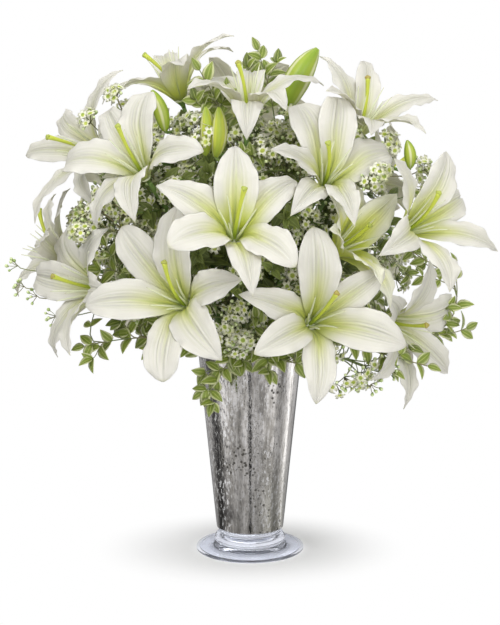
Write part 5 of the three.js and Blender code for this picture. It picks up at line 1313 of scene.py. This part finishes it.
def glowFinish(name, strength=1.0, attribute=None):
    # Its own light alone, white or in the shades of an attribute.
    f = Finish(name)
    values = {"Strength": strength}
    if attribute:
        values["Color"] = f.node("ShaderNodeAttribute", {"attribute_name": attribute})
    return f.finished(f.node("ShaderNodeEmission", values=values))


def linked(name, data):
    # A new object of the scene.
    made = bpy.data.objects.new(name, data)
    bpy.context.scene.collection.objects.link(made)
    return made


def stagePiece(name, profile, columns, paint):
    # A profile of radius and height carried round the z axis.
    turn = circle(columns)
    profile = np.array(profile, float)
    radius, rise = profile[:, :1], profile[:, 1:]
    rings = stacked(radius * np.sin(turn), -radius * np.cos(turn), rise + 0 * turn)
    quads = ringQuads(len(profile), columns)[2]
    mesh = bpy.data.meshes.new(name)
    mesh.from_pydata(rings.reshape(-1, 3).tolist(), [], quads.tolist())
    mesh.polygons.foreach_set("use_smooth", np.ones(len(quads), bool))
    mesh.materials.append(paint)
    made = linked(name, mesh)
    return made


def tentPiece():
    # Reflections alone see it. Its shade at an angle is listed, with finer stripes over that.
    columns = studio["tentColumns"]
    tent = stagePiece("lightTent", studio["tentProfile"], columns, glowFinish("tentCloth", attribute="shade"))
    angle = (np.arange(columns) * 360 / columns + 180) % 360 - 180
    shade = np.interp(angle, studio["tentAngles"], studio["tentShades"])
    stripes = np.convolve(np.random.default_rng(seeds["tent"]).random(columns + 4), np.ones(5) / 5, "valid")
    shade = shade * (0.5 + stripes) * np.array(studio["tentHeights"])[:, None]
    tint = stacked(shade * 0.99, shade * 0.985, shade, 1)
    field = tent.data.attributes.new("shade", "FLOAT_COLOR", "POINT")
    field.data.foreach_set("color", tint.astype(np.float32).ravel())
    tent.visible_camera = tent.visible_diffuse = tent.visible_transmission = tent.visible_shadow = False
    tent.visible_volume_scatter = False


def areaLight(name, place, aim, size, power):
    # A square light at a place, turned towards its aim.
    data = bpy.data.lights.new(name, "AREA")
    data.shape, data.size, data.energy = "SQUARE", size, power
    made = linked(name, data)
    ahead = unit(np.array(aim, float) - np.array(place, float))
    made.location = place
    made.rotation_euler = (math.acos(-ahead[2]), 0, math.atan2(-ahead[0], ahead[1]))
    made.visible_camera = False


floorPaint = plainFinish("floorPaper", (0.78, 0.78, 0.79))
floor = stagePiece("floor", studio["floorProfile"], 96, floorPaint)
floor.visible_diffuse = False
backdropPaint = glowFinish("backdropPaper", studio["backdrop"])
backdrop = stagePiece("backdrop", studio["backdropProfile"], 48, backdropPaint)
backdrop.visible_diffuse = backdrop.visible_glossy = backdrop.visible_shadow = False
tentPiece()
for name, values in studio["lights"].items():
    areaLight(name, *values)

world = bpy.data.worlds.new("studio")
world.use_nodes = True
world.node_tree.nodes["Background"].inputs[0].default_value = (1.0, 1.0, 1.0, 1)
world.node_tree.nodes["Background"].inputs[1].default_value = studio["world"]
scene = bpy.context.scene
scene.world = world
scene.view_settings.view_transform = "Standard"

cameraData = bpy.data.cameras.new("camera")
cameraData.lens = studio["lens"]
cameraData.sensor_width = studio["sensor"]
camera = linked("camera", cameraData)
camera.location = studio["camera"]
camera.rotation_euler = (math.radians(90 - studio["cameraDown"]), 0, 0)
scene.camera = camera
print("studio and camera")
